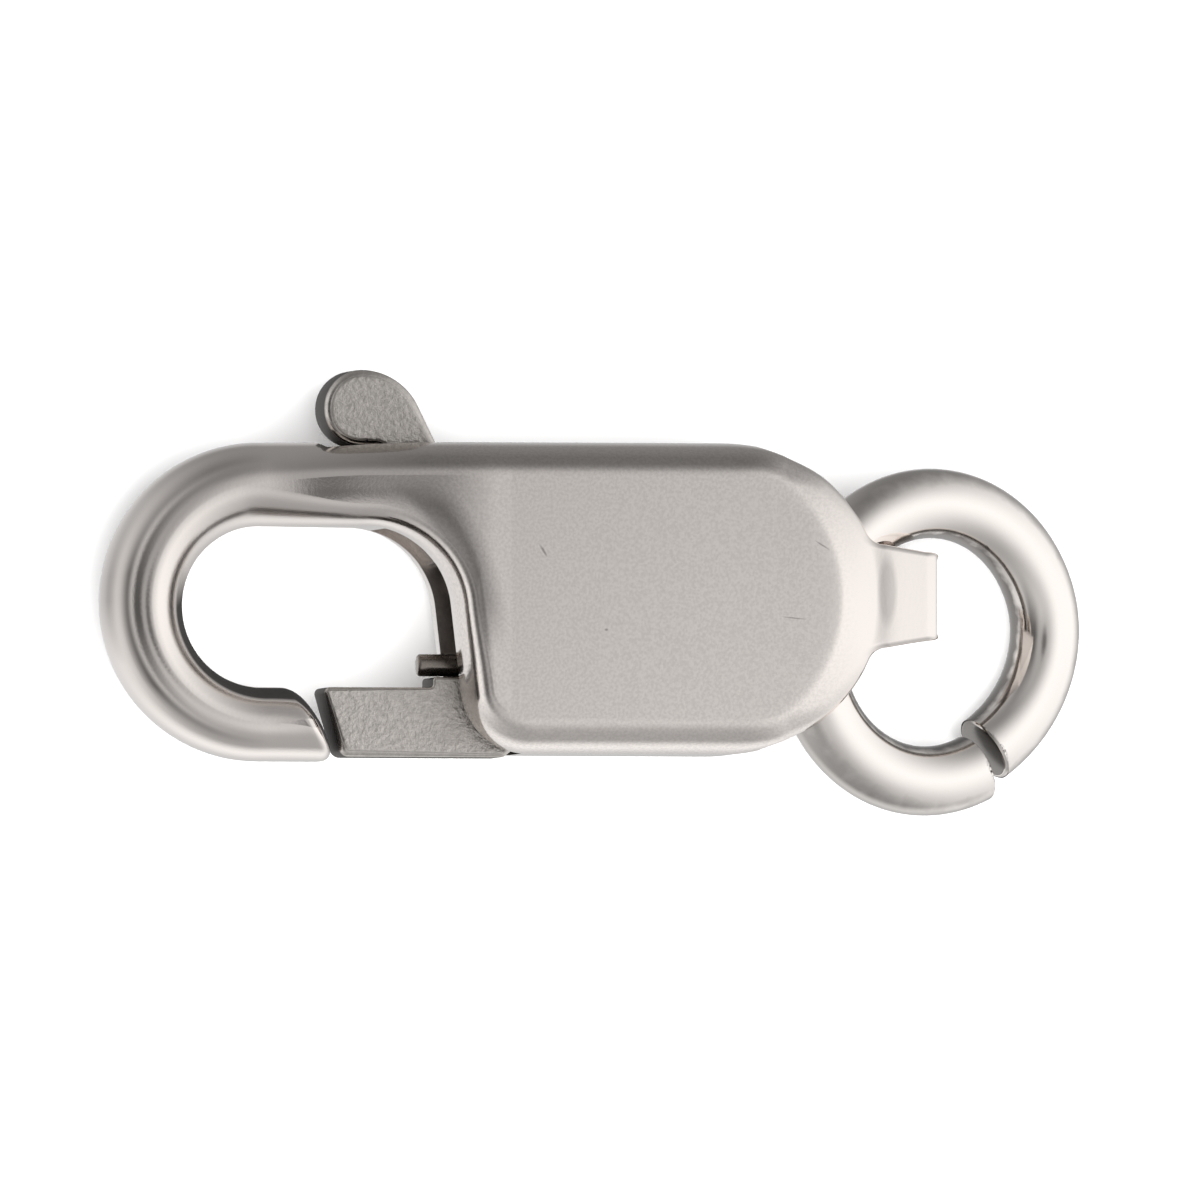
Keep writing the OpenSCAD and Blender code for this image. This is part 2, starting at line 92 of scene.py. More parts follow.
class CaseSizes(bpy.types.PropertyGroup):
    thick: length("Thickness", 3.0, "Thickness between the two flat faces")
    nose_r: length("Nose radius", 2.29, "Outer radius of the nose")
    nose_reach: length("Nose reach", 4.58, "From the pivot to the nose's centre")
    nose_rise: length("Nose rise", 1.14, "Height of the nose's centre")
    rear_r: length("Rear radius", 2.24, "Outer radius of the rear end")
    rear_reach: length("Rear reach", 2.07, "From the pivot to the rear end's centre")
    rear_rise: length("Rear rise", 1.2, "Height of the rear end's centre")
    cheek: length("Cheek", 0.86, "Thickness of each cheek beside the trigger")
    hook_t: length("Hook thickness", 2.0, "Thickness of the hook at the nose")
    rise_l: length("Rise", 3.2, "Length of the slope from the nose's centre up to the flat faces")
    band: length("Band", 1.065, "Width of the hook's band under the opening")
    band_nose: length("Nose band", 1.16, "Width of the hook's band at the nose")
    band_top: length("Upper band", 1.2, "Width of the hook's band over the opening")
    mouth_reach: length("Mouth reach", 1.87, "From the pivot to the mouth's widest point")
    mouth_r: length("Mouth radius", 1.27, "Radius of the mouth's upper corner")
    mouth_lean: angle("Mouth lean", 6.6, "Lean of the mouth's straight wall")
    lip_r: length("Lip radius", 0.98, "Radius of the cheek's lower lip")
    tip_reach: length("Tip reach", 4.0, "From the pivot to the foot of the hook's rounded tip")
    tip_slant: angle("Tip slant", 28, "Slant of the hook's tip")
    tip_round: length("Tip rounding", 0.25, "Length of the rounding on the hook's tip")
    tail_reach: length("Tail reach", 5.21, "From the pivot to the tail's end")
    tail_rise: length("Tail rise", 1.24, "Height of the tail's middle")
    neck_w: length("Neck width", 1.48, "Width of the tail at its neck")
    tail_w: length("Tail width", 1.28, "Width of the tail at its end")
    neck_r: length("Neck radius", 0.3, "Radius of the inside corners beside the neck")
    tail_wall: length("Tail wall", 0.4, "Thickness of the tail's walls over and under the ring")
    fold: length("Fold", 0.46, "Thickness of the fold at the tail's end")
    fold_round: length("Fold radius", 0.22, "Outer radius of the fold at the tail's end")
    tail_round: length("Tail corner", 0.06, "Radius of the tail's end corners")
    tail_sink: length("Tail sink", 0.36, "Depth of the slot's roof at the tail under its roof in the case")
    tail_drop: length("Tail drop", 0.22, "Depth of the slope's foot under the flat faces")
    tail_lean: length("Tail lean", 0.2, "How much lower the tail's end is than the slope's foot")
    slope_reach: length("Slope reach", 1.64, "From the rear end's centre to the slope, on the axis")
    slope_side: length("Slope side", 1.95, "The same distance at the sides")
    slope_l: length("Slope", 0.5, "Length of the slope down to the tail")
    valley: length("Valley", 0.03, "Depth of the pressed hollow at the foot of the slope")
    crown: length("Crown", 0.03, "Height of the faint crown of the flat faces")


class RoomSizes(bpy.types.PropertyGroup):
    root_front: length("Slot front", 3.8, "From the pivot to the front of the lug's slot")
    root_back: length("Slot back", 0.3, "From the pivot to the back of the lug's slot")
    roof: length("Roof", 0.5, "Thickness of the top edge behind the lug's slot")
    back_room: length("Back room", 0.65, "Length of the room behind the trigger's eye")
    eye_room: length("Eye room", 0.12, "Room under the trigger's eye")
    slot_reach: length("Ring slot", 2.55, "From the pivot to the front of the ring's slot")
    slot_lag: length("Slot lag", 0.15, "How far the slot keeps its height past the start of the slope")
    slot_round: length("Slot corner", 0.3, "Radius of the corners inside the ring's slot")
    groove: length("Groove", 0.24, "Depth of the groove that runs out of the room round the mouth's corner")
    groove_end: angle("Groove's end", 76, "Where round the mouth's corner the groove runs out")


class TriggerSizes(bpy.types.PropertyGroup):
    plate: length("Plate", 0.95, "Thickness of the trigger's plate")
    gate_w: length("Gate width", 1.0, "Width of the gate")
    gate_slant: angle("Gate slant", 15, "Slant of the gate's end")
    gate_gap: length("Gate gap", 0.09, "Gap between the gate and the hook's tip")
    step_reach: length("Step reach", 2.1, "From the pivot to the front of the spring's step")
    step_h: length("Step", 0.15, "Height of the spring's step")
    eye_r: length("Eye radius", 0.6, "Radius of the eye round the pivot")
    lug_r: length("Lug radius", 0.55, "Radius of the thumb lug's round head")
    lug_reach: length("Lug reach", 3.13, "From the pivot to the lug's centre")
    lug_h: length("Lug height", 1.035, "Height of the lug's top over the case")
    flank_r: length("Flank radius", 0.91, "Radius of the lug's long flank")
    flank_lean: angle("Flank lean", 65, "Lean of the lug's long flank against the case's top edge")
    root_gap: length("Root gap", 0.2, "Room between the trigger's arm and the hook's root")
    waist_gap: length("Waist gap", 0.28, "Room between the spring's bend and the trigger's waist")
    bevel: length("Bevel", 0.12, "Width of the tumbled edge round the lug and the gate's foot")
    fine_bevel: length("Fine bevel", 0.035, "Width of the edge round the rest of the plate")


class SpringSizes(bpy.types.PropertyGroup):
    wire: length("Wire", 0.32, "Diameter of the spring's wire")
    reach: length("Reach", 2.263, "From the pivot to the spring's showing end")
    bend_r: length("Bend radius", 0.4, "Radius of the spring's bend, to the wire's middle")
    bend_reach: length("Bend reach", 1.2, "From the pivot to the start of the bend")
    bend_turn: angle("Bend", 135, "Angle that the bend turns through")
    leg: length("Upper leg", 0.9, "Length of the spring's upper leg")
    gap: length("Gap", 0.02, "Gap at each end of the spring")
    end_round: length("End rounding", 0.05, "Rounding of the wire's cut ends")


class RingSizes(bpy.types.PropertyGroup):
    outer: length("Outer diameter", 5.0, "Outer diameter of the jump ring")
    wire: length("Wire", 1.0, "Diameter of the jump ring's wire")
    hang_reach: length("Hang reach", 3.42, "From the pivot to the wire inside the tail")
    hang_rise: length("Hang rise", 0.94, "Height along Y of the ring's highest point")
    roof_gap: length("Roof gap", 0.15, "Gap between the wire and the roof of the tail's slot")
    turn: angle("Turn", 10, "Turn of the ring's lean away from the clasp's length")
    cut_at: angle("Cut", 299, "Where the cut is, counted round the ring from the clasp's length")
    cut_w: angle("Cut width", 7, "Width of the cut")
    spring_in: length("Inset end", 0.16, "How far the end after the cut stands inside the circle")
    spring_out: length("Outset end", 0.0, "How far the end before the cut stands outside the circle")
    end_round: length("End rounding", 0.07, "Rounding of the cut ends")


class PinSizes(bpy.types.PropertyGroup):
    width: length("Pin", 0.5, "Diameter of the pivot pin")
    play: length("Play", 0.02, "Play round the pivot pin, on the radius")
    sink: length("Sink", 0.5, "Depth of the pin's blind seats in the cheeks")


class FinishColours(bpy.types.PropertyGroup):
    silver: hue("Silver", "#F6EFEA", "Tumbled sterling silver")
    inside: hue("Inside", "#8D857F", "Silver left as it was cast, inside the case")
    plate: hue("Plate", "#E6E0DA", "Stamped silver of the trigger")
    wire: hue("Wire", "#F7F1EC", "Drawn silver wire of the ring")
    steel: hue("Steel", "#9A928B", "Drawn steel of the spring and the pin")
    floor: hue("Floor", "#FAFAFA", "The plain pale floor")


class StageSettings(bpy.types.PropertyGroup):
    floor_size: length("Floor", 400, "Side of the floor")
    frame_w: length("Frame width", 17.28, "Width of the picture at the object")
    shot: length("Shot", 800, "Distance from the camera to the object")
    swing: angle("Swing", 10.3, "How far the camera stands towards the nose")
    dip: angle("Dip", 1.5, "How far the camera stands towards the foot of the picture")
    aim_right: length("Aim right", 0.677, "How far right of the pivot the picture's centre is")
    aim_up: length("Aim up", 1.231, "How far above the pivot the picture's centre is")
    lamp_size: length("Soft box", 120, "Side of the soft box")
    lamp_power: FloatProperty(name="Soft box power", description="Power of the soft box", default=0.35)
    lamp_up: length("Soft box height", 120, "Height of the soft box over the floor")
    lamp_back: length("Soft box back", 20, "How far the soft box stands towards the foot of the picture")
    lamp_lean: angle("Soft box lean", 10, "Lean of the soft box towards the object")


def smooth(t):
    """0 before 0, 1 after 1, and 3 t^2 - 2 t^3 between."""
    t = np.clip(t, 0, 1)
    return t * t * (3 - 2 * t)


def mm(*values):
    """Millimetres as metres."""
    return tuple(value * MM for value in values)


def unit(v):
    """Vectors of the same directions and of length 1."""
    return v / np.linalg.norm(v, axis=-1, keepdims=True)


def point(x, y):
    return np.array([x, y], float)


def arc(centre, radius, start, end, steps):
    """Points on a circle, centre + radius (cos a, sin a), for a from start to end with the start left out."""
    a = np.linspace(start, end, steps + 1)[1:]
    return centre + radius * np.stack([np.cos(a), np.sin(a)], 1)


def line(a, b, steps):
    """Points a + (b - a) t for t from 0 to 1 with the start left out."""
    return a + (b - a) * np.linspace(0, 1, steps + 1)[1:, None]


def heading(v):
    """The angle of a direction in the plan, from +X."""
    return np.arctan2(v[1], v[0])


def rounded(rows, steps=16):
    """A closed outline from rows of x, y, corner radius and values to carry along: each corner is an arc that
    touches both sides."""
    rows = np.array(rows, float)
    parts = []
    for before, here, after in zip(np.roll(rows, 1, 0), rows, np.roll(rows, -1, 0)):
        b, r = here[:2], here[2]
        if r <= 0:
            parts.append(np.concatenate([b, here[3:]])[None])
            continue
        u, v = unit(before[:2] - b), unit(after[:2] - b)
        half = np.arccos(np.clip(u @ v, -1, 1)) / 2
        centre = b + unit(u + v) * r / np.sin(half)
        start = heading(b + u * r / np.tan(half) - centre)
        side = -1 if u[0] * v[1] - u[1] * v[0] > 0 else 1
        a = start + side * (np.pi - 2 * half) * np.linspace(0, 1, steps + 1)
        corner = centre + r * np.stack([np.cos(a), np.sin(a)], 1)
        parts.append(np.concatenate([corner, np.tile(here[3:], (steps + 1, 1))], 1))
    return np.concatenate(parts)


def spread(outline, spacing):
    """The same closed outline with points no further apart than spacing, and none closer than a tenth."""
    reach = np.linalg.norm((np.roll(outline, -1, 0) - outline)[:, :2], axis=1)
    outline = outline[reach > spacing / 10]
    ends = np.roll(outline, -1, 0)
    reach = np.linalg.norm((ends - outline)[:, :2], axis=1)
    counts = np.ceil(reach / spacing).astype(int)
    return np.concatenate([a + (b - a) * np.arange(n)[:, None] / n for a, b, n in zip(outline, ends, counts)])


def grid_faces(rows, columns, closed):
    """Four corners of each face of a grid of rows by columns, turned to face outwards when the columns run
    clockwise seen from the last row; closed joins the last column to the first."""
    i = np.arange(rows - 1)[:, None]
    j = np.arange(columns if closed else columns - 1)[None]
    a, b = i * columns + j, i * columns + (j + 1) % columns
    return np.stack([b, a, a + columns, b + columns], -1).reshape(-1, 4)


def make_mesh(name, points, faces, material):
    """A mesh object of one material, from points in the frame and the corners of each face."""
    mesh = bpy.data.meshes.new(name)
    mesh.from_pydata(points.tolist(), [], faces)
    mesh.validate()
    mesh.materials.append(material)
    piece = bpy.data.objects.new(name, mesh)
    bpy.context.scene.collection.objects.link(piece)
    return piece


def finish_shading(piece, degrees):
    """Smooth faces, with edges kept sharp where the faces meet at more than the given angle."""
    mesh = piece.data
    mesh.polygons.foreach_set("use_smooth", np.ones(len(mesh.polygons), bool))
    mesh.set_sharp_from_angle(angle=np.radians(degrees))


def prism(name, outline, low, high, axes, material):
    """An outline carried straight from low to high, with a flat face at each end. Axes gives the place of
    the outline's two directions and of the way along."""
    n = len(outline)
    points = np.zeros((2 * n, 3))
    points[:, axes[0]] = np.tile(outline[:, 0], 2)
    points[:, axes[1]] = np.tile(outline[:, 1], 2)
    points[:, axes[2]] = np.repeat([low, high], n)
    ring = np.arange(n)
    after = (ring + 1) % n
    faces = np.stack([ring, after, after + n, ring + n], 1).tolist()
    faces += [ring[::-1].tolist(), (ring + n).tolist()]
    area = np.sum(outline[:, 0] * np.roll(outline[:, 1], -1) - np.roll(outline[:, 0], -1) * outline[:, 1])
    turn = np.sign(area) * (1 if axes in ((0, 1, 2), (1, 2, 0), (2, 0, 1)) else -1)
    if turn < 0:
        faces = [f[::-1] for f in faces]
    return make_mesh(name, points, faces, material)


def cut(piece, cutters):
    """Takes the cutters out of the piece, and deletes them."""
    for cutter in cutters:
        modifier = piece.modifiers.new("cut", "BOOLEAN")
        modifier.operation = "DIFFERENCE"
        modifier.solver = "MANIFOLD"
        modifier.object = cutter
    bpy.context.view_layer.update()
    shape = bpy.data.meshes.new_from_object(piece.evaluated_get(bpy.context.evaluated_depsgraph_get()))
    if len(shape.polygons) < len(piece.data.polygons) // 2:
        raise RuntimeError("a cut left too little of " + piece.name)
    piece.modifiers.clear()
    piece.data = shape
    for cutter in cutters:
        bpy.data.objects.remove(cutter)


class Plan:
    """The case's driving points, worked out from its sizes."""

    def __init__(self, s):
        self.s = s
        self.mid = s.thick / 2
        self.nose = point(-s.nose_reach, s.nose_rise)
        self.rear = point(s.rear_reach, s.rear_rise)
        self.hole_r = s.nose_r - (s.band + s.band_top) / 2
        self.hole = point(self.nose[0] - s.nose_r + s.band_nose + self.hole_r,
                          self.nose[1] - (s.band_top - s.band) / 2)
        self.hole_top = self.hole[1] + self.hole_r
        self.hole_low = self.hole[1] - self.hole_r
        self.top = self.rear[1] + s.rear_r
        self.low = self.rear[1] - s.rear_r
        self.arm_low = self.nose[1] - s.nose_r
        self.mouth = point(-s.mouth_reach - s.mouth_r, self.hole_top - s.mouth_r)
        lean = s.mouth_lean
        self.wall_top = self.mouth + s.mouth_r * point(np.cos(lean), np.sin(lean))
        drop = self.wall_top[1] + s.lip_r * np.sin(lean) - self.low - s.lip_r
        self.wall_end = self.wall_top + drop / np.cos(lean) * point(np.sin(lean), -np.cos(lean))
        self.lip = self.wall_end + s.lip_r * point(np.cos(lean), np.sin(lean))
        self.tip_mid = point(-s.tip_reach, (self.hole_low + self.arm_low) / 2)
        self.tip_half = (self.hole_low - self.arm_low) / 2 * point(-np.tan(s.tip_slant), 1)
        self.neck_up = self.neck_centre(s.tail_rise + s.neck_w / 2, 1)
        self.neck_down = self.neck_centre(s.tail_rise - s.neck_w / 2, -1)

    def neck_centre(self, y, side):
        """Centre of the inside corner between the rear end's circle and a tail edge at height y."""
        s = self.s
        centre_y = y + side * s.neck_r
        along = np.sqrt((s.rear_r + s.neck_r) ** 2 - (centre_y - self.rear[1]) ** 2)
        return point(self.rear[0] + along, centre_y)

    def fold_steps(self, side, steps):
        """Round the fold along X and round the end's corner along Y: (r sin a, c (1 - cos a)), a up to 90."""
        a = np.linspace(0, np.pi / 2, steps + 1)[1:]
        s = self.s
        return np.stack([s.fold_round * np.sin(a), side * s.tail_round * (1 - np.cos(a))], 1)

    def outer(self, n):
        """The outline's outer side: arm, nose circle, straight back, rear circle, neck and tail."""
        s = self.s
        nose_top = self.nose + point(0, s.nose_r)
        nose_foot = self.nose - point(0, s.nose_r)
        over_mouth = point(self.mouth[0], self.top)
        over_wall = point(0.75 * self.wall_top[0] + 0.25 * self.lip[0], self.top)
        over_lip = point(0.4 * self.wall_top[0] + 0.6 * self.lip[0], self.top)
        tail = point(s.tail_reach - s.fold_round, s.tail_rise + s.tail_w / 2)
        turn = heading(self.neck_up - self.rear)
        return np.concatenate([
            (self.tip_mid - self.tip_half)[None],
            line(self.tip_mid - self.tip_half, nose_foot, n["arm"]),
            arc(self.nose, s.nose_r, 1.5 * np.pi, np.pi / 2, n["nose"]),
            line(nose_top, over_mouth, n["bar"]),
            line(over_mouth, over_wall, n["corner"]),
            line(over_wall, over_lip, n["wall"]),
            line(over_lip, point(self.lip[0], self.top), n["lip"]),
            line(point(self.lip[0], self.top), point(self.rear[0], self.top), n["face"]),
            arc(self.rear, s.rear_r, np.pi / 2, turn, n["rear"]),
            arc(self.neck_up, s.neck_r, turn + np.pi, 1.5 * np.pi, n["neck"]),
            line(point(self.neck_up[0], s.tail_rise + s.neck_w / 2), tail, n["tail"]),
            tail + self.fold_steps(-1, n["fold"]),
        ])

    def inner(self, n):
        """The outline's inner side: arm, hole, mouth's corner and wall, lip, foot, rear circle and tail."""
        s = self.s
        tail = point(s.tail_reach - s.fold_round, s.tail_rise - s.tail_w / 2)
        turn = heading(self.neck_down - self.rear) + 2 * np.pi
        hole_foot = self.hole - point(0, self.hole_r)
        lean = s.mouth_lean
        return np.concatenate([
            (self.tip_mid + self.tip_half)[None],
            line(self.tip_mid + self.tip_half, hole_foot, n["arm"]),
            arc(self.hole, self.hole_r, 1.5 * np.pi, np.pi / 2, n["nose"]),
            line(point(self.hole[0], self.hole_top), point(self.mouth[0], self.hole_top), n["bar"]),
            arc(self.mouth, s.mouth_r, np.pi / 2, lean, n["corner"]),
            line(self.wall_top, self.wall_end, n["wall"]),
            arc(self.lip, s.lip_r, np.pi + lean, 1.5 * np.pi, n["lip"]),
            line(point(self.lip[0], self.low), point(self.rear[0], self.low), n["face"]),
            arc(self.rear, s.rear_r, 1.5 * np.pi, turn, n["rear"]),
            arc(self.neck_down, s.neck_r, turn - np.pi, np.pi / 2, n["neck"]),
            line(point(self.neck_down[0], s.tail_rise - s.neck_w / 2), tail, n["tail"]),
            tail + self.fold_steps(1, n["fold"]),
        ])


# Rows of EDGES: the stretch and the share of it where the row holds, then in millimetres the width and height
# of the rounded edge outside, the same inside, and the width and height of the wide shallow round inside
EDGES = (
    ("arm", 0.0, 0.6, 0.94, 0.6, 0.94, 0.5, 0.0),
    ("nose", 0.9, 0.6, 0.94, 0.6, 0.94, 0.5, 0.0),
    ("bar", 1.0, 0.5, 0.9, 0.3, 0.42, 0.55, 0.16),
    ("corner", 0.5, 0.5, 0.88, 0.24, 0.46, 0.75, 0.11),
    ("corner", 1.0, 0.5, 0.88, 0.26, 0.5, 0.7, 0.07),
    ("wall", 1.0, 0.5, 0.88, 0.34, 0.64, 0.5, 0.02),
    ("lip", 1.0, 0.5, 0.88, 0.5, 0.88, 0.5, 0.0),
    ("face", 1.0, 0.5, 0.88, 0.5, 0.88, 0.5, 0.0),
    ("rear", 0.35, 0.42, 0.45, 0.42, 0.45, 0.3, 0.0),
    ("rear", 0.65, 0.24, 0.2, 0.24, 0.2, 0.3, 0.0),
    ("rear", 1.0, 0.14, 0.12, 0.14, 0.12, 0.3, 0.0),
    ("neck", 1.0, 0.09, 0.1, 0.09, 0.1, 0.3, 0.0),
    ("fold", 1.0, 0.07, 0.1, 0.07, 0.1, 0.3, 0.0),
)
# The widest that a rounded edge may be, as a share of the band
FULL_ROUND = 0.495


def edge_values(column, count):
    """A column of EDGES at every station, with a smooth change from each row to the next."""
    n = dict(STRETCHES)
    ends = dict(zip(n, np.cumsum(list(n.values()))))
    at = np.array([ends[row[0]] - (1 - row[1]) * n[row[0]] for row in EDGES], float)
    values = np.array([row[column] for row in EDGES]) * MM
    i = np.arange(count)
    k = np.clip(np.searchsorted(at, i, side="right") - 1, 0, len(at) - 2)
    return values[k] + (values[k + 1] - values[k]) * smooth((i - at[k]) / (at[k + 1] - at[k]))


def quarter(t):
    """Fall of a quarter circle of radius 1 at distance t from its outer end: 1 - sqrt(1 - (1 - t)^2)."""
    t = np.clip(t, 0, 1)
    return 1 - np.sqrt(1 - (1 - t) ** 2)


def soft_ramp(t, ease=0.12):
    """A ramp from 0 to 1 for t from 0 to 1 with eased ends: g(t) - g(t - 1), where g(t) is half the sum of t
    and sqrt(t^2 + ease^2)."""
    return (t + np.sqrt(t**2 + ease**2)) / 2 - (t - 1 + np.sqrt((t - 1) ** 2 + ease**2)) / 2


def face_height(p, plan):
    """Half thickness of the case at plan points p. It rises from the hook's to the full one, with a faint
    crown, as far as a curve round the rear end's centre; there it slopes down to the tail, with a pressed
    hollow at the slope's foot; the tail leans on down, and at its end follows the circle of the fold."""
    s = plan.s
    x, y = p[..., 0], p[..., 1]
    half = s.hook_t / 2 + (plan.mid - s.hook_t / 2) * smooth((x - plan.nose[0]) / s.rise_l)
    away = p - plan.rear
    reach = np.linalg.norm(away, axis=-1)
    along = np.clip(away[..., 0] / np.maximum(reach, 1e-9), 0, 1)
    start = s.slope_side + (s.slope_reach - s.slope_side) * along**1.5
    drop = s.tail_drop * soft_ramp((reach - start) / s.slope_l) * smooth(1.6 * along)
    foot = plan.rear[0] + s.slope_reach + s.slope_l
    lean = s.tail_lean * soft_ramp((x - foot) / (s.tail_reach - foot))
    side = (y - s.tail_rise) / (0.55 * s.neck_w)
    hollow = s.valley * np.exp(-(((x - foot) / (0.36 * s.slope_l)) ** 2) - side**4)
    fall_side = np.clip((y - plan.rear[1]) / s.rear_r, -1, 1) ** 2 * smooth((x - plan.nose[0]) / s.rise_l)
    fall_front = np.clip((plan.rear[0] - x) / s.rise_l, 0, 1) ** 2
    crown = s.crown * (fall_side + fall_front)
    past = np.clip(x - s.tail_reach + s.fold_round, 0, s.fold_round)
    turn = s.fold_round - np.sqrt(s.fold_round**2 - past**2)
    return half - drop - lean - hollow - crown - turn


def case_surface(plan):
    """Rows of closed sections along the case. Each section goes from the outer side over the front face to
    the inner side and back under the back face. The rounded edges are quarter ellipses: at distance
    w (1 - cos a) from the outline the face has fallen by h (1 - sin a). Inside, a wide shallow quarter
    ellipse is added to the narrow one."""
    s = plan.s
    n = dict(STRETCHES)
    outer, inner = plan.outer(n), plan.inner(n)
    count = len(outer)
    w_out, h_out, w_in, h_in, w_wide, h_wide = (edge_values(c, count)[:, None] for c in range(2, 8))
    full = FULL_ROUND * np.linalg.norm(outer - inner, axis=1)[:, None]
    w_out, w_in = np.minimum(w_out, full), np.minimum(w_in, full)

    way_out, way_in = unit(np.gradient(outer, axis=0)), unit(np.gradient(inner, axis=0))
    side_out = np.stack([way_out[:, 1], -way_out[:, 0]], 1)
    side_in = np.stack([-way_in[:, 1], way_in[:, 0]], 1)
    lean = 1 - smooth(np.arange(count) / n["arm"])[:, None]
    side_out = side_out + lean * point(-np.tan(s.tip_slant), 0)
    side_in = side_in + lean * point(np.tan(s.tip_slant), 0)

    a = np.linspace(0, np.pi / 2, EDGE_STEPS + 1)[None]
    d_out, d_in = w_out * (1 - np.cos(a)), w_in * (1 - np.cos(a))
    edge_out = outer[:, None] + side_out[:, None] * d_out[..., None]
    edge_in = inner[:, None] + side_in[:, None] * d_in[..., None]
    t = (1 - np.cos(np.linspace(0, np.pi, FACE_STEPS + 2)[1:-1])) / 2
    across = edge_out[:, -1:] + (edge_in[:, -1:] - edge_out[:, -1:]) * t[None, :, None]
    p = np.concatenate([edge_out, across, edge_in[:, ::-1]], 1)

    level = np.ones((count, FACE_STEPS + EDGE_STEPS + 1))
    fall = h_out * quarter(np.concatenate([d_out / w_out, level], 1))
    fall += h_in * quarter(np.concatenate([level, d_in[:, ::-1] / w_in], 1))
    d_wide = np.linalg.norm(p - inner[:, None], axis=-1)
    fall += h_wide * quarter(d_wide / w_wide)
    height = face_height(p, plan) - fall

    wall = np.linspace(1, -1, WALL_STEPS + 2)[1:-1]
    keep = np.ones(WALL_STEPS)
    front = np.concatenate([p, height[..., None]], -1)
    back = front[:, ::-1] * [1, 1, -1]
    inner_wall = front[:, -1:] * np.stack([keep, keep, wall], 1)
    outer_wall = front[:, :1] * np.stack([keep, keep, -wall], 1)
    rows = np.concatenate([front, inner_wall, back, outer_wall], 1)

    a = np.linspace(np.pi / 2, 0, TIP_STEPS + 1)[1:-1, None, None]
    middle = np.array([*plan.tip_mid, 0])
    draw = np.concatenate([np.cos(a) ** 0.4] * 2 + [np.cos(a) ** 0.5], -1)
    tip = middle + (rows[:1] - middle) * draw + np.array([s.tip_round, 0, 0]) * np.sin(a)
    rows = np.concatenate([tip, rows])
    rows[..., 2] += plan.mid
    return rows


def lofted(name, rows, material):
    """A closed mesh through rows of closed sections, with a fan at each end."""
    m, n = rows.shape[:2]
    points = np.concatenate([rows.reshape(-1, 3), rows[0].mean(0)[None], rows[-1].mean(0)[None]])
    faces = grid_faces(m, n, True).tolist()
    j = np.arange(n)
    after = (j + 1) % n
    faces += np.stack([j, after, np.full(n, m * n)], 1).tolist()
    faces += np.stack([(m - 1) * n + after, (m - 1) * n + j, np.full(n, m * n + 1)], 1).tolist()
    return make_mesh(name, points, faces, material)


def spring_plan(case, plan, trigger, spring):
    """The spring's bend centre, the ends of its two legs and the tongue that its upper leg bears on."""
    y = plan.hole_low + trigger.step_h + spring.gap + spring.wire / 2
    bend = point(-spring.bend_reach, y + spring.bend_r)
    turn = spring.bend_turn
    bend_end = bend + spring.bend_r * point(np.sin(turn), -np.cos(turn))
    leg_end = bend_end + spring.leg * point(np.cos(turn), np.sin(turn))
    tongue_low = leg_end[1] + spring.wire / 2 * abs(np.cos(turn)) + spring.gap
    tongue = point(leg_end[0] + 0.4 * spring.wire, tongue_low + spring.wire / 3)
    return y, bend, leg_end, tongue_low, tongue


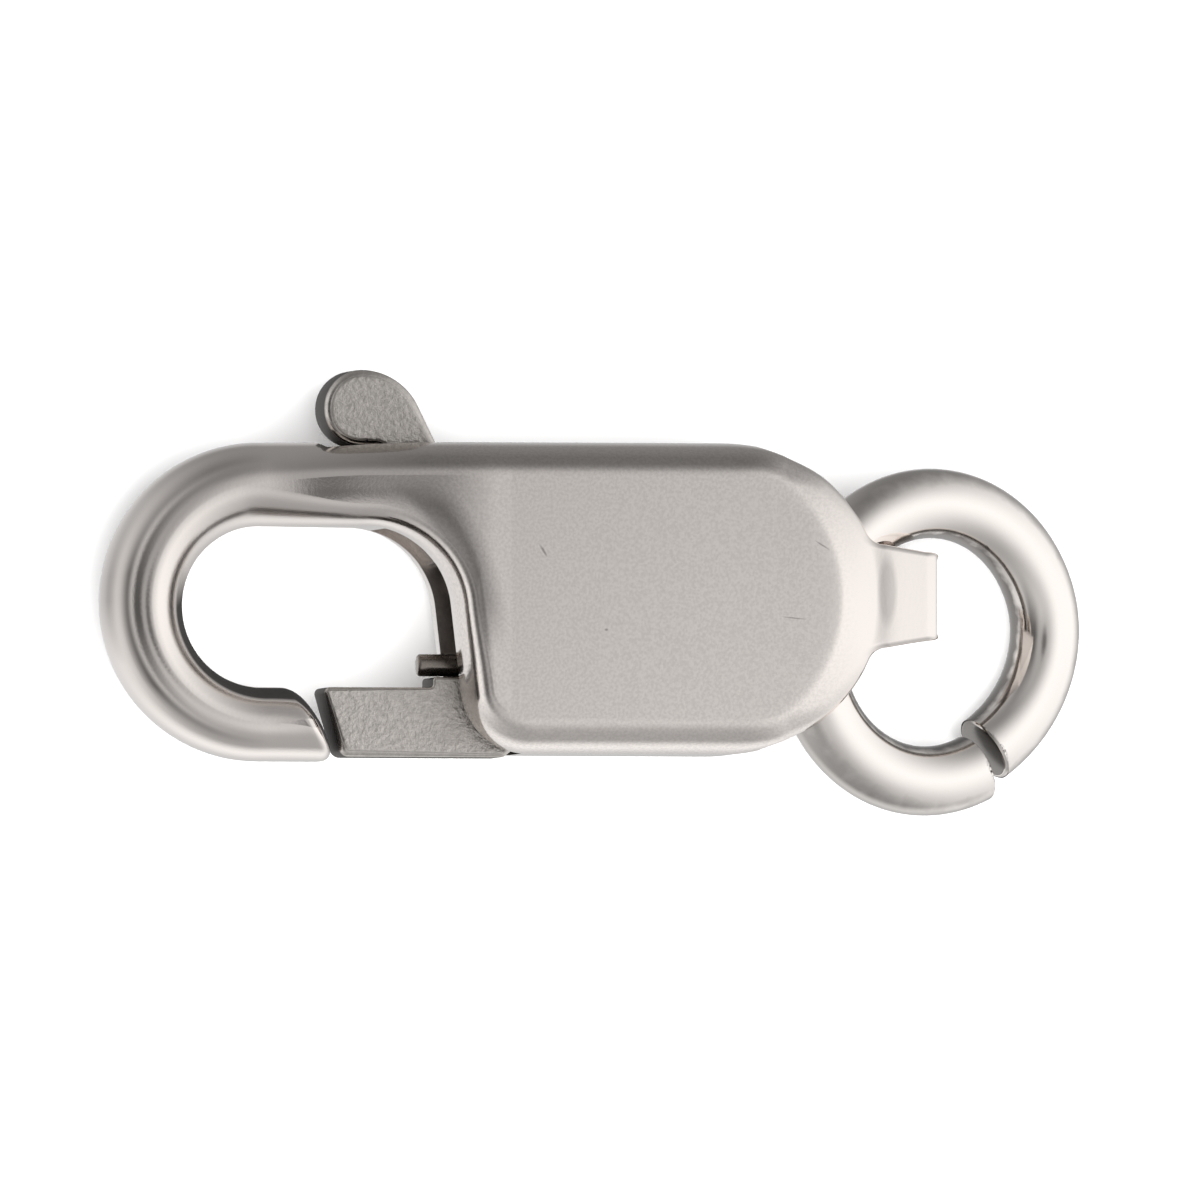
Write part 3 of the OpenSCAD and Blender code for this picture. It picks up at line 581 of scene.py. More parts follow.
def build_case(scene):
    """The case, with four cutters taken out of it: the trigger's room, the groove that runs out of the room
    round the mouth's corner, the jump ring's slot and the pin's bore."""
    case, room, pin = scene.clasp_case, scene.clasp_room, scene.clasp_pin
    trigger, spring = scene.clasp_trigger, scene.clasp_spring
    plan = Plan(case)
    skin, raw = tumbled_silver(scene.clasp_colours), cast_inside(scene.clasp_colours)
    piece = lofted("case", case_surface(plan), skin)
    leg_end, tongue_low, tongue = spring_plan(case, plan, trigger, spring)[2:]
    front = plan.mouth[0] + 0.74 * case.mouth_r
    back = trigger.eye_r + room.back_room
    ceiling = plan.top - room.roof
    heel = point(-trigger.eye_r - 0.55 * trigger.gate_w, plan.hole_low - trigger.gate_w)
    sole = point(-0.83 * trigger.eye_r, -trigger.eye_r)
    cavity = rounded([
        (-room.root_front, plan.top + CUT_PAST, 0),
        (-room.root_front, plan.top, 0),
        (*tongue, 0),
        (tongue[0], tongue_low, 0),
        (front, tongue_low, 0),
        (front, plan.low - CUT_PAST, 0),
        (heel[0] + room.eye_room, plan.low - CUT_PAST, 0),
        (heel[0] + room.eye_room, heel[1] - room.eye_room / 2, 0),
        (sole[0] + room.eye_room, sole[1] - room.eye_room, room.eye_room),
        (back, sole[1] - room.eye_room, room.back_room / 2),
        (back, ceiling, room.back_room / 2),
        (-room.root_back, ceiling, 0),
        (-room.root_back, plan.top + CUT_PAST, 0),
    ])
    half = plan.mid - case.tail_wall
    low = half - case.tail_sink
    far = case.rear_reach + case.slope_reach + room.slot_lag
    slot = rounded([
        (room.slot_reach, plan.mid - half, room.slot_round),
        (far, plan.mid - half, room.slot_round),
        (far + case.slope_l, plan.mid - low, room.slot_round / 2),
        (case.tail_reach - case.fold, plan.mid - low, room.slot_round),
        (case.tail_reach - case.fold, plan.mid + low, room.slot_round),
        (far + case.slope_l, plan.mid + low, room.slot_round / 2),
        (far, plan.mid + half, room.slot_round),
        (room.slot_reach, plan.mid + half, room.slot_round),
    ])
    bore = arc(point(0, 0), pin.width / 2 + pin.play, 0, 2 * np.pi, 96)
    a = np.linspace(0, room.groove_end, 60)
    depth = room.groove * np.sqrt(1 - (a / room.groove_end) ** 2)
    turn = np.stack([np.cos(a), np.sin(a)], 1)
    groove = plan.mouth + np.concatenate([(case.mouth_r - room.groove) * turn,
                                          ((case.mouth_r + depth)[:, None] * turn)[::-1]])
    groove_low, groove_high = case.cheek + CUT_CLEAR, case.thick - case.cheek - CUT_CLEAR
    cut(piece, [
        prism("trigger_room", cavity, case.cheek, case.thick - case.cheek, (0, 1, 2), raw),
        prism("corner_groove", groove, groove_low, groove_high, (0, 1, 2), raw),
        prism("ring_slot", slot, plan.low - CUT_PAST, plan.top + CUT_PAST, (0, 2, 1), raw),
        prism("pin_bore", bore, case.cheek - pin.sink, case.thick - case.cheek + pin.sink, (0, 1, 2), raw),
    ])
    finish_shading(piece, 32)
    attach(piece, "clasp")
    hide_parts("body")


def plate_surface(outline, bevel, half, steps=7):
    """Rings round a plate from its back face to its front face. The edge is a quarter circle: at height
    half - bevel (1 - sin a) the outline is drawn in by bevel (1 - cos a). A last ring lies on each face."""
    way = unit(np.roll(outline, -1, 0) - np.roll(outline, 1, 0))
    inward = np.stack([-way[:, 1], way[:, 0]], 1)
    if np.sum(outline[:, 0] * np.roll(outline[:, 1], -1) - np.roll(outline[:, 0], -1) * outline[:, 1]) < 0:
        inward = -inward
    a = np.linspace(0, np.pi / 2, steps + 1)
    inset = np.concatenate([1 - np.cos(a), [1.15]])
    fall = np.concatenate([1 - np.sin(a), [0]])
    draw = np.concatenate([inset[::-1], inset])[:, None] * bevel
    high = np.concatenate([fall[::-1], fall])[:, None] * bevel
    high = (half - high) * np.repeat([-1, 1], len(inset))[:, None]
    p = outline[None] + inward[None] * draw[..., None]
    return np.concatenate([p, high[..., None]], -1)


def build_trigger(scene):
    """The trigger: one plate with a closed outline of rounded corners, from the gate's tip along the gate's
    foot, round the eye, up the flank, round the lug and down the arm. Each row of the outline also gives how
    wide the plate's edge is rounded there."""
    case, t, room = scene.clasp_case, scene.clasp_trigger, scene.clasp_room
    pin, spring = scene.clasp_pin, scene.clasp_spring
    plan = Plan(case)
    tongue = spring_plan(case, plan, t, spring)[4]
    gate_top, gate_low = plan.hole_low, plan.hole_low - t.gate_w
    step_top = gate_top + t.step_h
    tip_x = plan.tip_mid[0] + case.tip_round - 0.7 * plan.tip_half[0]
    tip_y = plan.tip_mid[1] - 0.7 * plan.tip_half[1]
    tip = tip_x + t.gate_gap - (gate_top - tip_y) * np.tan(t.gate_slant)
    lug_top = plan.top + t.lug_h
    flank_top = point(-t.lug_reach + t.flank_r * np.tan(t.flank_lean / 2), lug_top)
    flank_low = flank_top - 1.82 * t.lug_h * point(-np.cos(t.flank_lean), np.sin(t.flank_lean))
    root_top = point(-room.root_front, plan.top)
    root_way = unit(tongue - root_top)
    root_side = point(-root_way[1], root_way[0])
    arm_head = root_top + (tongue - root_top) * 0.48 + t.root_gap * root_side
    arm_foot = tongue + t.root_gap * root_side
    waist = -spring.bend_reach + spring.bend_r + spring.wire / 2 + t.waist_gap
    wide, fine = t.bevel, t.fine_bevel
    outline = rounded([
        (tip, gate_top, 0.08 * t.gate_w, 0.5 * wide),
        (tip + t.gate_w * np.tan(t.gate_slant), gate_low, 0.14 * t.gate_w, wide),
        (-t.eye_r - 0.47 * t.gate_w, gate_low, 0.12 * t.gate_w, 0.5 * wide),
        (-0.83 * t.eye_r, -t.eye_r, 0.33 * t.eye_r, fine),
        (t.eye_r, -t.eye_r, t.eye_r, fine),
        (t.eye_r, 1.9 * t.eye_r, 1.5 * t.eye_r, fine),
        (*flank_low, 0.55 * t.flank_r, fine),
        (*flank_top, t.flank_r, wide),
        (-t.lug_reach - t.lug_r, lug_top, t.lug_r, wide),
        (-t.lug_reach - t.lug_r, lug_top - 2 * t.lug_r, 0.98 * t.lug_r, wide),
        (-t.lug_reach + 0.47 * t.lug_r, lug_top - 2 * t.lug_r, 0.22 * t.lug_r, wide),
        (*arm_head, 0.55 * t.lug_r, fine),
        (*arm_foot, 1.2 * fine, fine),
        (waist, 2.17 * t.eye_r, 0.58 * t.eye_r, fine),
        (waist, 1.25 * t.eye_r, 0.42 * t.eye_r, fine),
        (-spring.bend_reach + spring.wire, step_top, t.step_h / 2, fine),
        (-t.step_reach, step_top, t.step_h / 3, fine),
        (-t.step_reach, gate_top, t.step_h / 3, fine),
    ])
    outline = spread(outline, 0.03 * MM)
    rows = plate_surface(outline[:, :2], outline[:, 2], t.plate / 2)
    rows[..., 2] += plan.mid
    m, n = rows.shape[:2]
    faces = grid_faces(m, n, True).tolist()
    faces += [list(range(n)), list(range((m - 1) * n, m * n))[::-1]]
    piece = make_mesh("trigger_plate", rows.reshape(-1, 3), faces, stamped_silver(scene.clasp_colours))
    settle_normals(piece)
    bore = arc(point(0, 0), pin.width / 2 + pin.play, 0, 2 * np.pi, 96)
    cut(piece, [prism("eye_bore", bore, 0, case.thick, (0, 1, 2), piece.data.materials[0])])
    finish_shading(piece, 35)
    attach(piece, "gate")
    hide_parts("trigger")


def settle_normals(piece):
    """Turns a closed mesh right side out if its volume comes out negative."""
    mesh = piece.data
    mesh.calc_loop_triangles()
    co = np.empty(len(mesh.vertices) * 3)
    mesh.vertices.foreach_get("co", co)
    tri = np.empty(len(mesh.loop_triangles) * 3, int)
    mesh.loop_triangles.foreach_get("vertices", tri)
    corners = co.reshape(-1, 3)[tri.reshape(-1, 3)]
    volume = np.einsum("ij,ij->i", corners[:, 0], np.cross(corners[:, 1], corners[:, 2])).sum()
    if volume < 0:
        mesh.flip_normals()


def wire_surface(path, way, up, radius, end_round, sides=40, end_steps=6):
    """A round wire along a path: each section is the circle radius (side cos a + up sin a), and at both ends
    the circle is drawn in along a quarter circle so that the cut edge is rounded."""
    side = unit(np.cross(up, way))
    b = np.linspace(np.pi / 2, 0, end_steps + 1)
    short = end_round * (1 - np.sin(b))
    size = radius - end_round * (1 - np.cos(b))
    first = path[0] + way[0] * short[:, None]
    last = path[-1] - way[-1] * short[::-1, None]
    inner = path[1:-1]
    centres = np.concatenate([first, inner, last])
    sizes = np.concatenate([size, np.full(len(inner), radius), size[::-1]])
    sides_all = np.concatenate([np.repeat(side[:1], len(b), 0), side[1:-1], np.repeat(side[-1:], len(b), 0)])
    ups = np.concatenate([np.repeat(up[:1], len(b), 0), up[1:-1], np.repeat(up[-1:], len(b), 0)])
    a = np.linspace(0, 2 * np.pi, sides, endpoint=False)[None, :, None]
    around = sides_all[:, None] * np.cos(a) + ups[:, None] * np.sin(a)
    return centres[:, None] + sizes[:, None, None] * around


def build_spring(scene):
    """The hairpin spring: round wire along the gate's foot, round one bend and up to the trigger's arm."""
    case, trigger, s = scene.clasp_case, scene.clasp_trigger, scene.clasp_spring
    plan = Plan(case)
    y, bend, leg_end = spring_plan(case, plan, trigger, s)[:3]
    a = np.linspace(-np.pi / 2, s.bend_turn - np.pi / 2, 61)
    curve = bend + s.bend_r * np.stack([np.cos(a), np.sin(a)], 1)
    path = np.concatenate([point(-s.reach, y)[None], line(point(-s.reach, y), curve[0], 20), curve[1:],
                           line(curve[-1], leg_end, 20)])
    path = np.concatenate([path, np.full((len(path), 1), plan.mid)], 1)
    way = unit(np.gradient(path, axis=0))
    up = np.tile([0.0, 0.0, 1.0], (len(path), 1))
    rows = wire_surface(path, way, up, s.wire / 2, s.end_round)
    piece = lofted("hairpin_spring", rows, drawn_steel(scene.clasp_colours))
    settle_normals(piece)
    finish_shading(piece, 40)
    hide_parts("spring")
    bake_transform(piece)


def turn_about(axis, a):
    """The 3 by 3 matrix of a turn by the angle a about an axis."""
    return np.array(Matrix.Rotation(a, 3, axis))


# The attribute that says how far the ring's surface faces its centre: the cosine of the angle round the wire,
# and 1 on the cut ends
FACING_IN = "facing_in"


def build_ring(scene):
    """The jump ring: round wire on a circle whose radius strays in at the cut's far end. The circle hangs
    from the tail's slot, turned a little, and leans down until the wire touches the floor."""
    case, r = scene.clasp_case, scene.clasp_ring
    mid = case.thick / 2
    circle = (r.outer - r.wire) / 2
    hang_z = mid + mid - case.tail_wall - r.wire / 2 - r.roof_gap
    lean = np.arcsin((hang_z - r.wire / 2) / (2 * circle))
    centre = np.array([
        r.hang_reach + circle * np.cos(lean) * np.cos(r.turn),
        r.hang_rise - circle * np.cos(lean) * np.sin(r.turn),
        hang_z - circle * np.sin(lean),
    ])
    basis = turn_about("Z", -r.turn) @ turn_about("Y", lean)
    start = r.cut_at + r.turn + r.cut_w / 2
    a = np.linspace(start, start + 2 * np.pi - r.cut_w, 400)
    part = (a - a[0]) / (a[-1] - a[0])
    stray = -r.spring_in * (1 - smooth(part / 0.22)) + r.spring_out * smooth((part - 0.8) / 0.2)
    reach = circle + stray
    path = np.stack([reach * np.cos(a), reach * np.sin(a), 0 * a], 1) @ basis.T + centre
    way = unit(np.gradient(path, axis=0))
    up = np.tile(basis[:, 2], (len(a), 1))
    rows = wire_surface(path, way, up, r.wire / 2, r.end_round, sides=64, end_steps=8)
    piece = lofted("jump_ring_wire", rows, drawn_silver(scene.clasp_colours))
    turn = np.linspace(0, 2 * np.pi, rows.shape[1], endpoint=False)
    facing = piece.data.attributes.new(FACING_IN, "FLOAT", "POINT")
    inward = np.tile(np.cos(turn), (rows.shape[0], 1))
    inward[[0, -1]] = 1
    facing.data.foreach_set("value", np.concatenate([inward.ravel(), [1, 1]]))
    settle_normals(piece)
    finish_shading(piece, 50)
    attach(piece, "ring")
    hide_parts("jump_ring")


def linear(hex_text):
    """An sRGB hex colour as linear red, green, blue and a full alpha."""
    c = np.array([int(hex_text[i:i + 2], 16) for i in (1, 3, 5)]) / 255
    c = np.where(c <= 0.04045, c / 12.92, ((c + 0.055) / 1.055) ** 2.4)
    return (*c.tolist(), 1.0)


def fill_ramp(color_ramp, stops):
    """Gives a colour ramp its stops, rows of a place from 0 to 1 and the grey there, with eased changes."""
    color_ramp.interpolation = "EASE"
    while len(color_ramp.elements) < len(stops):
        color_ramp.elements.new(0.5)
    for element, (at, grey) in zip(color_ramp.elements, stops):
        element.position = at
        element.color = (grey, grey, grey, 1)


def add(tree, kind, settings=None, **links):
    """Adds a node: settings are its properties, its sockets' values or its colour ramp's stops, and links
    join its sockets to others."""
    node = tree.nodes.new(kind)
    for key, value in (settings or {}).items():
        if key == "stops":
            fill_ramp(node.color_ramp, value)
        elif isinstance(key, str) and hasattr(node, key):
            setattr(node, key, value)
        else:
            node.inputs[key].default_value = value
    for key, source in links.items():
        socket = int(key[1:]) if key[0] == "i" and key[1:].isdigit() else key.replace("_", " ")
        tree.links.new(source, node.inputs[socket])
    return node


def share(tree, *conditions):
    """How much of a mark a place gets: the product of its conditions. Each one is a node's output and the two
    values between which it rises from 0 to 1, or from a low to a high that follow them."""
    product = None
    for value, start, end, *between in conditions:
        low, high = between or (0.0, 1.0)
        part = add(tree, "ShaderNodeMapRange",
                   {"From Min": start, "From Max": end, "To Min": low, "To Max": high},
                   Value=value).outputs["Result"]
        if product is not None:
            part = add(tree, "ShaderNodeMath", {"operation": "MULTIPLY"}, i0=product, i1=part).outputs[0]
        product = part
    return product


def new_material(name):
    """An empty node material and its tree."""
    material = bpy.data.materials.new(name)
    material.use_nodes = True
    tree = material.node_tree
    tree.nodes.clear()
    return material, tree


# Rows of NICKS: centre along X and Y, length and width in millimetres, and turn in degrees
NICKS = (
    (-0.685, 1.86, 0.24, 0.05, -58),
    (2.97, 0.91, 0.42, 0.03, -6),
    (3.38, 1.96, 0.3, 0.03, -32),
    (0.23, 0.73, 0.07, 0.05, 0),
)
# The nose's centre, and the painted streaks of reflection and shade round it: rows of how far the surface
# faces away from the centre, from 0 to 1, and how much of its light it keeps there
NOSE_CENTRE = (-4.58, 1.14, 0)
PAINTED_NOSE_STREAKS = ((0.6, 1.0), (0.75, 0.2), (0.9, 0.75), (0.97, 0.5), (1.0, 0.65))
# The arc of painted shade beside the mouth, by its centre, and the spot of painted shade in the hollow at the
# foot of the slope to the tail, by its centre and its half sizes, in millimetres
SHADE_ARC_CENTRE = (-4.46, 0.56, 0)
HOLLOW_SHADE_CENTRE = (4.39, 1.31, 2.1)
HOLLOW_SHADE_HALF = (0.15, 0.53, 3)
# The way that the part of the hook's inner wall faces where the painted shade lies
FOOT_SHADE_WAY = (0.55, 0.83, 0)
# How much of its light the silver keeps under each mark: the nicks and specks are its own, the others are
# painted shade
LIGHT_LEFT = {
    "painted_lug_shade": 0.88, "nick": 0.6, "speck": 0.9, "painted_mouth_arc_shade": 0.6, "painted_hollow_shade": 0.78, "painted_tail_end_shade": 0.3,
    "painted_top_edge_shade": 0.62, "painted_fringe_shade": 0.45, "painted_black_shade": 0.08,
}
# The roughness of the tumbled mirror, and what satin, the hook's inside and the black painted shade add to it
MIRROR_ROUGH = 0.1
SATIN_ADDS = 0.15
INSIDE_ADDS = 0.14
BLACK_SHADE_ADDS = 0.9


def nick(tree, where, row):
    """How deep a shallow scratch is, from 0 at its edge to 1 along its middle, by the distance from the
    centre in its own ellipse."""
    x, y, long, wide, turn = row
    own = add(tree, "ShaderNodeMapping", {"vector_type": "TEXTURE", "Location": mm(x, y, 0),
                                          "Rotation": (0, 0, float(np.radians(turn))),
                                          "Scale": (*mm(long / 2, wide / 2), 1)},
              Vector=where.outputs["Object"])
    reach = add(tree, "ShaderNodeVectorMath", {"operation": "LENGTH"}, i0=own.outputs["Vector"])
    return share(tree, (reach.outputs["Value"], 1.0, 0.3))


def plan_way(tree, where, centre):
    """The way in plan from a centre, given in millimetres, to each place on the surface."""
    away = add(tree, "ShaderNodeVectorMath", {"operation": "SUBTRACT", 1: mm(*centre)},
               i0=where.outputs["Object"])
    return add(tree, "ShaderNodeVectorMath", {"operation": "MULTIPLY", 1: (1, 1, 0)}, i0=away.outputs[0])


def nose_streaks_and_inside(tree, where, x, faces_up):
    """The painted streaks of reflection and shade round the nose, and how far the surface looks into the
    hook's opening. Both come from the dot product of the normal and the way in plan from the nose's centre."""
    way = plan_way(tree, where, NOSE_CENTRE)
    outward = add(tree, "ShaderNodeVectorMath", {"operation": "NORMALIZE"}, i0=way.outputs[0])
    facing = add(tree, "ShaderNodeVectorMath", {"operation": "DOT_PRODUCT"}, i0=where.outputs["Normal"],
                 i1=outward.outputs[0]).outputs["Value"]
    streak_free_foot = share(tree, (facing, 0.84, 0.92), (faces_up, 0.0, -0.4))
    streak_mask = share(tree, (x, *mm(-4.5, -5.4)), (streak_free_foot, 1.0, 0.0), (faces_up, -0.85, -0.45),
                   (faces_up, 0.15, 0.6, 1.0, 0.4))
    # Painted streaks of reflection and shade, by how far the surface faces away from the nose's centre
    painted_streaks = add(tree, "ShaderNodeValToRGB", {"stops": PAINTED_NOSE_STREAKS}, Fac=facing).outputs["Color"]
    left = add(tree, "ShaderNodeMix", {"data_type": "FLOAT", 2: 1.0}, i0=streak_mask, i3=painted_streaks).outputs[0]
    return left, share(tree, (facing, -0.3, -0.55), (x, *mm(-2.9, -3.2)))


def tumbled_silver(colours):
    """Sterling silver, cast and tumble-polished: a warm neutral mirror on the hook, satin with a fine mottle
    and a few nicks on the cheeks. Painted shade makes it darker towards the thumb lug and along the case's
    top edge, in an arc beside the mouth, on a spot before the tail and on the tail's end, and black low down
    inside the hook, where it is also rough and not metallic; painted streaks of reflection and shade run
    round the nose."""
    material, tree = new_material("Tumbled sterling silver")
    where = add(tree, "ShaderNodeTexCoord")
    axes = add(tree, "ShaderNodeSeparateXYZ", None, Vector=where.outputs["Object"])
    faces = add(tree, "ShaderNodeSeparateXYZ", None, Vector=where.outputs["Normal"])
    x, y, z = axes.outputs["X"], axes.outputs["Y"], axes.outputs["Z"]
    faces_up = faces.outputs["Y"]
    flat = add(tree, "ShaderNodeMath", {"operation": "ABSOLUTE"}, i0=faces.outputs["Z"]).outputs[0]
    painted_streaks_left, inside = nose_streaks_and_inside(tree, where, x, faces_up)

    mottle = add(tree, "ShaderNodeTexNoise", {"Scale": 1 / (0.045 * MM), "Detail": 3.0},
                 Vector=where.outputs["Object"]).outputs["Fac"]
    nicks = nick(tree, where, NICKS[0])
    for row in NICKS[1:]:
        nicks = add(tree, "ShaderNodeMath", {"operation": "MAXIMUM"}, i0=nicks,
                    i1=nick(tree, where, row)).outputs[0]
    grit = add(tree, "ShaderNodeMath", {"operation": "MULTIPLY", 1: 0.5}, i0=mottle)
    level = add(tree, "ShaderNodeMath", {"operation": "SUBTRACT"}, i0=grit.outputs[0], i1=nicks)
    height = add(tree, "ShaderNodeBump", {"Strength": 0.35, "Distance": 0.006 * MM}, Height=level.outputs[0])

    cheek = share(tree, (x, *mm(-3.6, -1.8)), (x, *mm(4, 3.2)))
    # Painted shade in an arc beside the mouth
    shade_arc_reach = add(tree, "ShaderNodeVectorMath", {"operation": "LENGTH"},
                    i0=plan_way(tree, where, SHADE_ARC_CENTRE).outputs[0]).outputs["Value"]
    # Painted shade on a spot in the hollow at the foot of the slope to the tail
    spot = add(tree, "ShaderNodeMapping", {"vector_type": "TEXTURE", "Location": mm(*HOLLOW_SHADE_CENTRE),
                                           "Scale": mm(*HOLLOW_SHADE_HALF)}, Vector=where.outputs["Object"])
    hollow_shade_reach = add(tree, "ShaderNodeVectorMath", {"operation": "LENGTH"}, i0=spot.outputs[0])
    # Painted shade low on the hook's inner wall: a dark fringe, and black where it is lowest
    toward_foot_shade = add(tree, "ShaderNodeVectorMath", {"operation": "DOT_PRODUCT", 1: FOOT_SHADE_WAY},
                          i0=where.outputs["Normal"]).outputs["Value"]
    fringe_shade = share(tree, (flat, 0.62, 0.52), (toward_foot_shade, 0.1, 0.5), (y, *mm(2.4, 2.2)),
                 (x, *mm(-3.0, -3.2)))
    thick = share(tree, (fringe_shade, 0.0, 1.0), (z, *mm(1.6, 1.8)))
    marks = {
        # Painted shade, darker towards the thumb lug at the top
        "painted_lug_shade": share(tree, (y, *mm(-1, 3.4))),
        "nick": nicks,
        "speck": share(tree, (cheek, 0.0, 1.0), (mottle, 0.6, 0.38)),
        # Painted shade in an arc beside the mouth
        "painted_mouth_arc_shade": share(tree, (shade_arc_reach, *mm(2.68, 2.82)), (shade_arc_reach, *mm(3.3, 3.05)),
                           (y, *mm(0.4, 1.1)), (y, *mm(2.9, 2.5)), (flat, 0.85, 0.97)),
        # Painted shade on a spot in the hollow before the tail
        "painted_hollow_shade": share(tree, (hollow_shade_reach.outputs["Value"], 1.1, 0.7)),
        # Painted shade on the tail's end face
        "painted_tail_end_shade": share(tree, (faces.outputs["X"], 0.5, 0.8), (x, *mm(5.1, 5.3))),
        # Painted shade along the case's top edge, where it faces up
        "painted_top_edge_shade": share(tree, (faces_up, 0.2, 0.55), (faces_up, 0.75, 0.95, 1.0, 0.4),
                          (x, *mm(-4.2, -2.4)), (x, *mm(3.8, 2.6)), (y, *mm(2.5, 2.8))),
        # Painted shade low on the hook's inner wall, black where it is lowest
        "painted_fringe_shade": fringe_shade,
        "painted_black_shade": thick,
    }
    tone = share(tree, (painted_streaks_left, 0.0, 1.0),
                 *((mark, 0.0, 1.0, 1.0, LIGHT_LEFT[name]) for name, mark in marks.items()))
    tint = add(tree, "ShaderNodeMix", {"data_type": "RGBA", 6: (0, 0, 0, 1), 7: linear(colours.silver)},
               i0=tone)

    satin = share(tree, (cheek, 0.0, 1.0), (flat, 0.7, 0.95, 0.3, 1.0))
    rough = add(tree, "ShaderNodeMath", {"operation": "MULTIPLY_ADD", 1: SATIN_ADDS, 2: MIRROR_ROUGH},
                i0=satin)
    for place, adds in ((inside, INSIDE_ADDS), (thick, BLACK_SHADE_ADDS)):
        rough = add(tree, "ShaderNodeMath", {"operation": "MULTIPLY_ADD", 1: adds}, i0=place,
                    i2=rough.outputs[0])
    # Where the shade is painted black the silver turns rough, dark and not metallic
    shader = add(tree, "ShaderNodeBsdfPrincipled", None, Base_Color=tint.outputs[2],
                 Metallic=share(tree, (thick, 1.0, 0.0)), Roughness=rough.outputs[0],
                 Normal=height.outputs["Normal"])
    add(tree, "ShaderNodeOutputMaterial", None, Surface=shader.outputs[0])
    return material


def cast_inside(colours):
    """Silver left as cast inside the case, out of the tumbling grit's reach: dull and a little darker."""
    material, tree = new_material("As-cast silver")
    where = add(tree, "ShaderNodeTexCoord")
    grain = add(tree, "ShaderNodeTexNoise", {"Scale": 1 / (0.05 * MM), "Detail": 4.0},
                Vector=where.outputs["Object"])
    height = add(tree, "ShaderNodeBump", {"Strength": 0.3, "Distance": 0.02 * MM},
                 Height=grain.outputs["Fac"])
    shader = add(tree, "ShaderNodeBsdfPrincipled",
                 {"Base Color": linear(colours.inside), "Metallic": 1.0, "Roughness": 0.38},
                 Normal=height.outputs["Normal"])
    add(tree, "ShaderNodeOutputMaterial", None, Surface=shader.outputs[0])
    return material


def stamped_silver(colours):
    """Silver stamped from sheet: matt and grainy on the faces, burnished along the edges, rough and darkened
    with painted shade on the sheared sides, and darker with painted shade towards the thumb lug."""
    material, tree = new_material("Stamped silver")
    where = add(tree, "ShaderNodeTexCoord")
    axes = add(tree, "ShaderNodeSeparateXYZ", None, Vector=where.outputs["Object"])
    faces = add(tree, "ShaderNodeSeparateXYZ", None, Vector=where.outputs["Normal"])
    flat = add(tree, "ShaderNodeMath", {"operation": "ABSOLUTE"}, i0=faces.outputs["Z"]).outputs[0]
    grain = add(tree, "ShaderNodeTexNoise", {"Scale": 1 / (0.08 * MM), "Detail": 4.0, "Roughness": 0.65},
                Vector=where.outputs["Object"]).outputs["Fac"]
    pits = share(tree, (grain, 0.0, 1.0), (flat, 0.95, 1.0, 0.12, 1.0))
    height = add(tree, "ShaderNodeBump", {"Strength": 0.7, "Distance": 0.04 * MM}, Height=pits)
    blotch = (grain, 0.35, 0.65, 0.8, 1.0)
    # Painted shade, darker towards the thumb lug at the top
    painted_lug_shade = (axes.outputs["Y"], *mm(0.5, 3.5), 1.0, 0.8)
    # Painted shade on the sheared sides
    painted_side_shade = (flat, 0.1, 0.45, 0.16, 1.0)
    tint = add(tree, "ShaderNodeMix", {"data_type": "RGBA", 6: (0, 0, 0, 1), 7: linear(colours.plate)},
               i0=share(tree, blotch, painted_lug_shade, painted_side_shade))
    rough = add(tree, "ShaderNodeMath", {"operation": "ADD"}, i0=share(tree, (flat, 0.9, 0.99, 0.18, 0.42)),
                i1=share(tree, (flat, 0.1, 0.45, 0.4, 0.0)))
    shader = add(tree, "ShaderNodeBsdfPrincipled", {"Metallic": 1.0}, Base_Color=tint.outputs[2],
                 Roughness=rough.outputs[0], Normal=height.outputs["Normal"])
    add(tree, "ShaderNodeOutputMaterial", None, Surface=shader.outputs[0])
    return material


def drawn_silver(colours):
    """Round silver wire, drawn and tumbled: a bright mirror with faint marks, a little darker round its
    outside, and rougher and darkened with painted shade on the side that faces into the ring, except where
    that faces up."""
    material, tree = new_material("Drawn silver wire")
    where = add(tree, "ShaderNodeTexCoord")
    faces = add(tree, "ShaderNodeSeparateXYZ", None, Vector=where.outputs["Normal"])
    marks = add(tree, "ShaderNodeTexNoise", {"Scale": 1 / (0.25 * MM), "Detail": 3.0},
                Vector=where.outputs["Object"]).outputs["Fac"]
    height = add(tree, "ShaderNodeBump", {"Strength": 0.08, "Distance": 0.02 * MM}, Height=marks)
    inside = add(tree, "ShaderNodeAttribute", {"attribute_name": FACING_IN}).outputs["Fac"]
    smear = add(tree, "ShaderNodeMath", {"operation": "MULTIPLY_ADD", 1: 0.4, 2: -0.2}, i0=marks).outputs[0]
    rise = add(tree, "ShaderNodeMath", {"operation": "ADD"}, i0=faces.outputs["Z"], i1=smear)
    smeared_facing = add(tree, "ShaderNodeMath", {"operation": "ADD"}, i0=inside, i1=smear)
    # Painted shade on the side that faces into the ring, where the wire is also rougher
    painted_inner_shade = share(tree, (inside, 0.2, 0.5), (rise.outputs[0], 0.6, 0.42))
    tint = add(tree, "ShaderNodeMix", {"data_type": "RGBA", 6: (0, 0, 0, 1), 7: linear(colours.wire)},
               i0=share(tree, (painted_inner_shade, 0.0, 1.0, 1.0, 0.28), (smeared_facing.outputs[0], -0.9, -0.55, 0.62, 1.0)))
    shader = add(tree, "ShaderNodeBsdfPrincipled", {"Metallic": 1.0}, Base_Color=tint.outputs[2],
                 Roughness=share(tree, (painted_inner_shade, 0.0, 1.0, 0.09, 0.22)), Normal=height.outputs["Normal"])
    add(tree, "ShaderNodeOutputMaterial", None, Surface=shader.outputs[0])
    return material


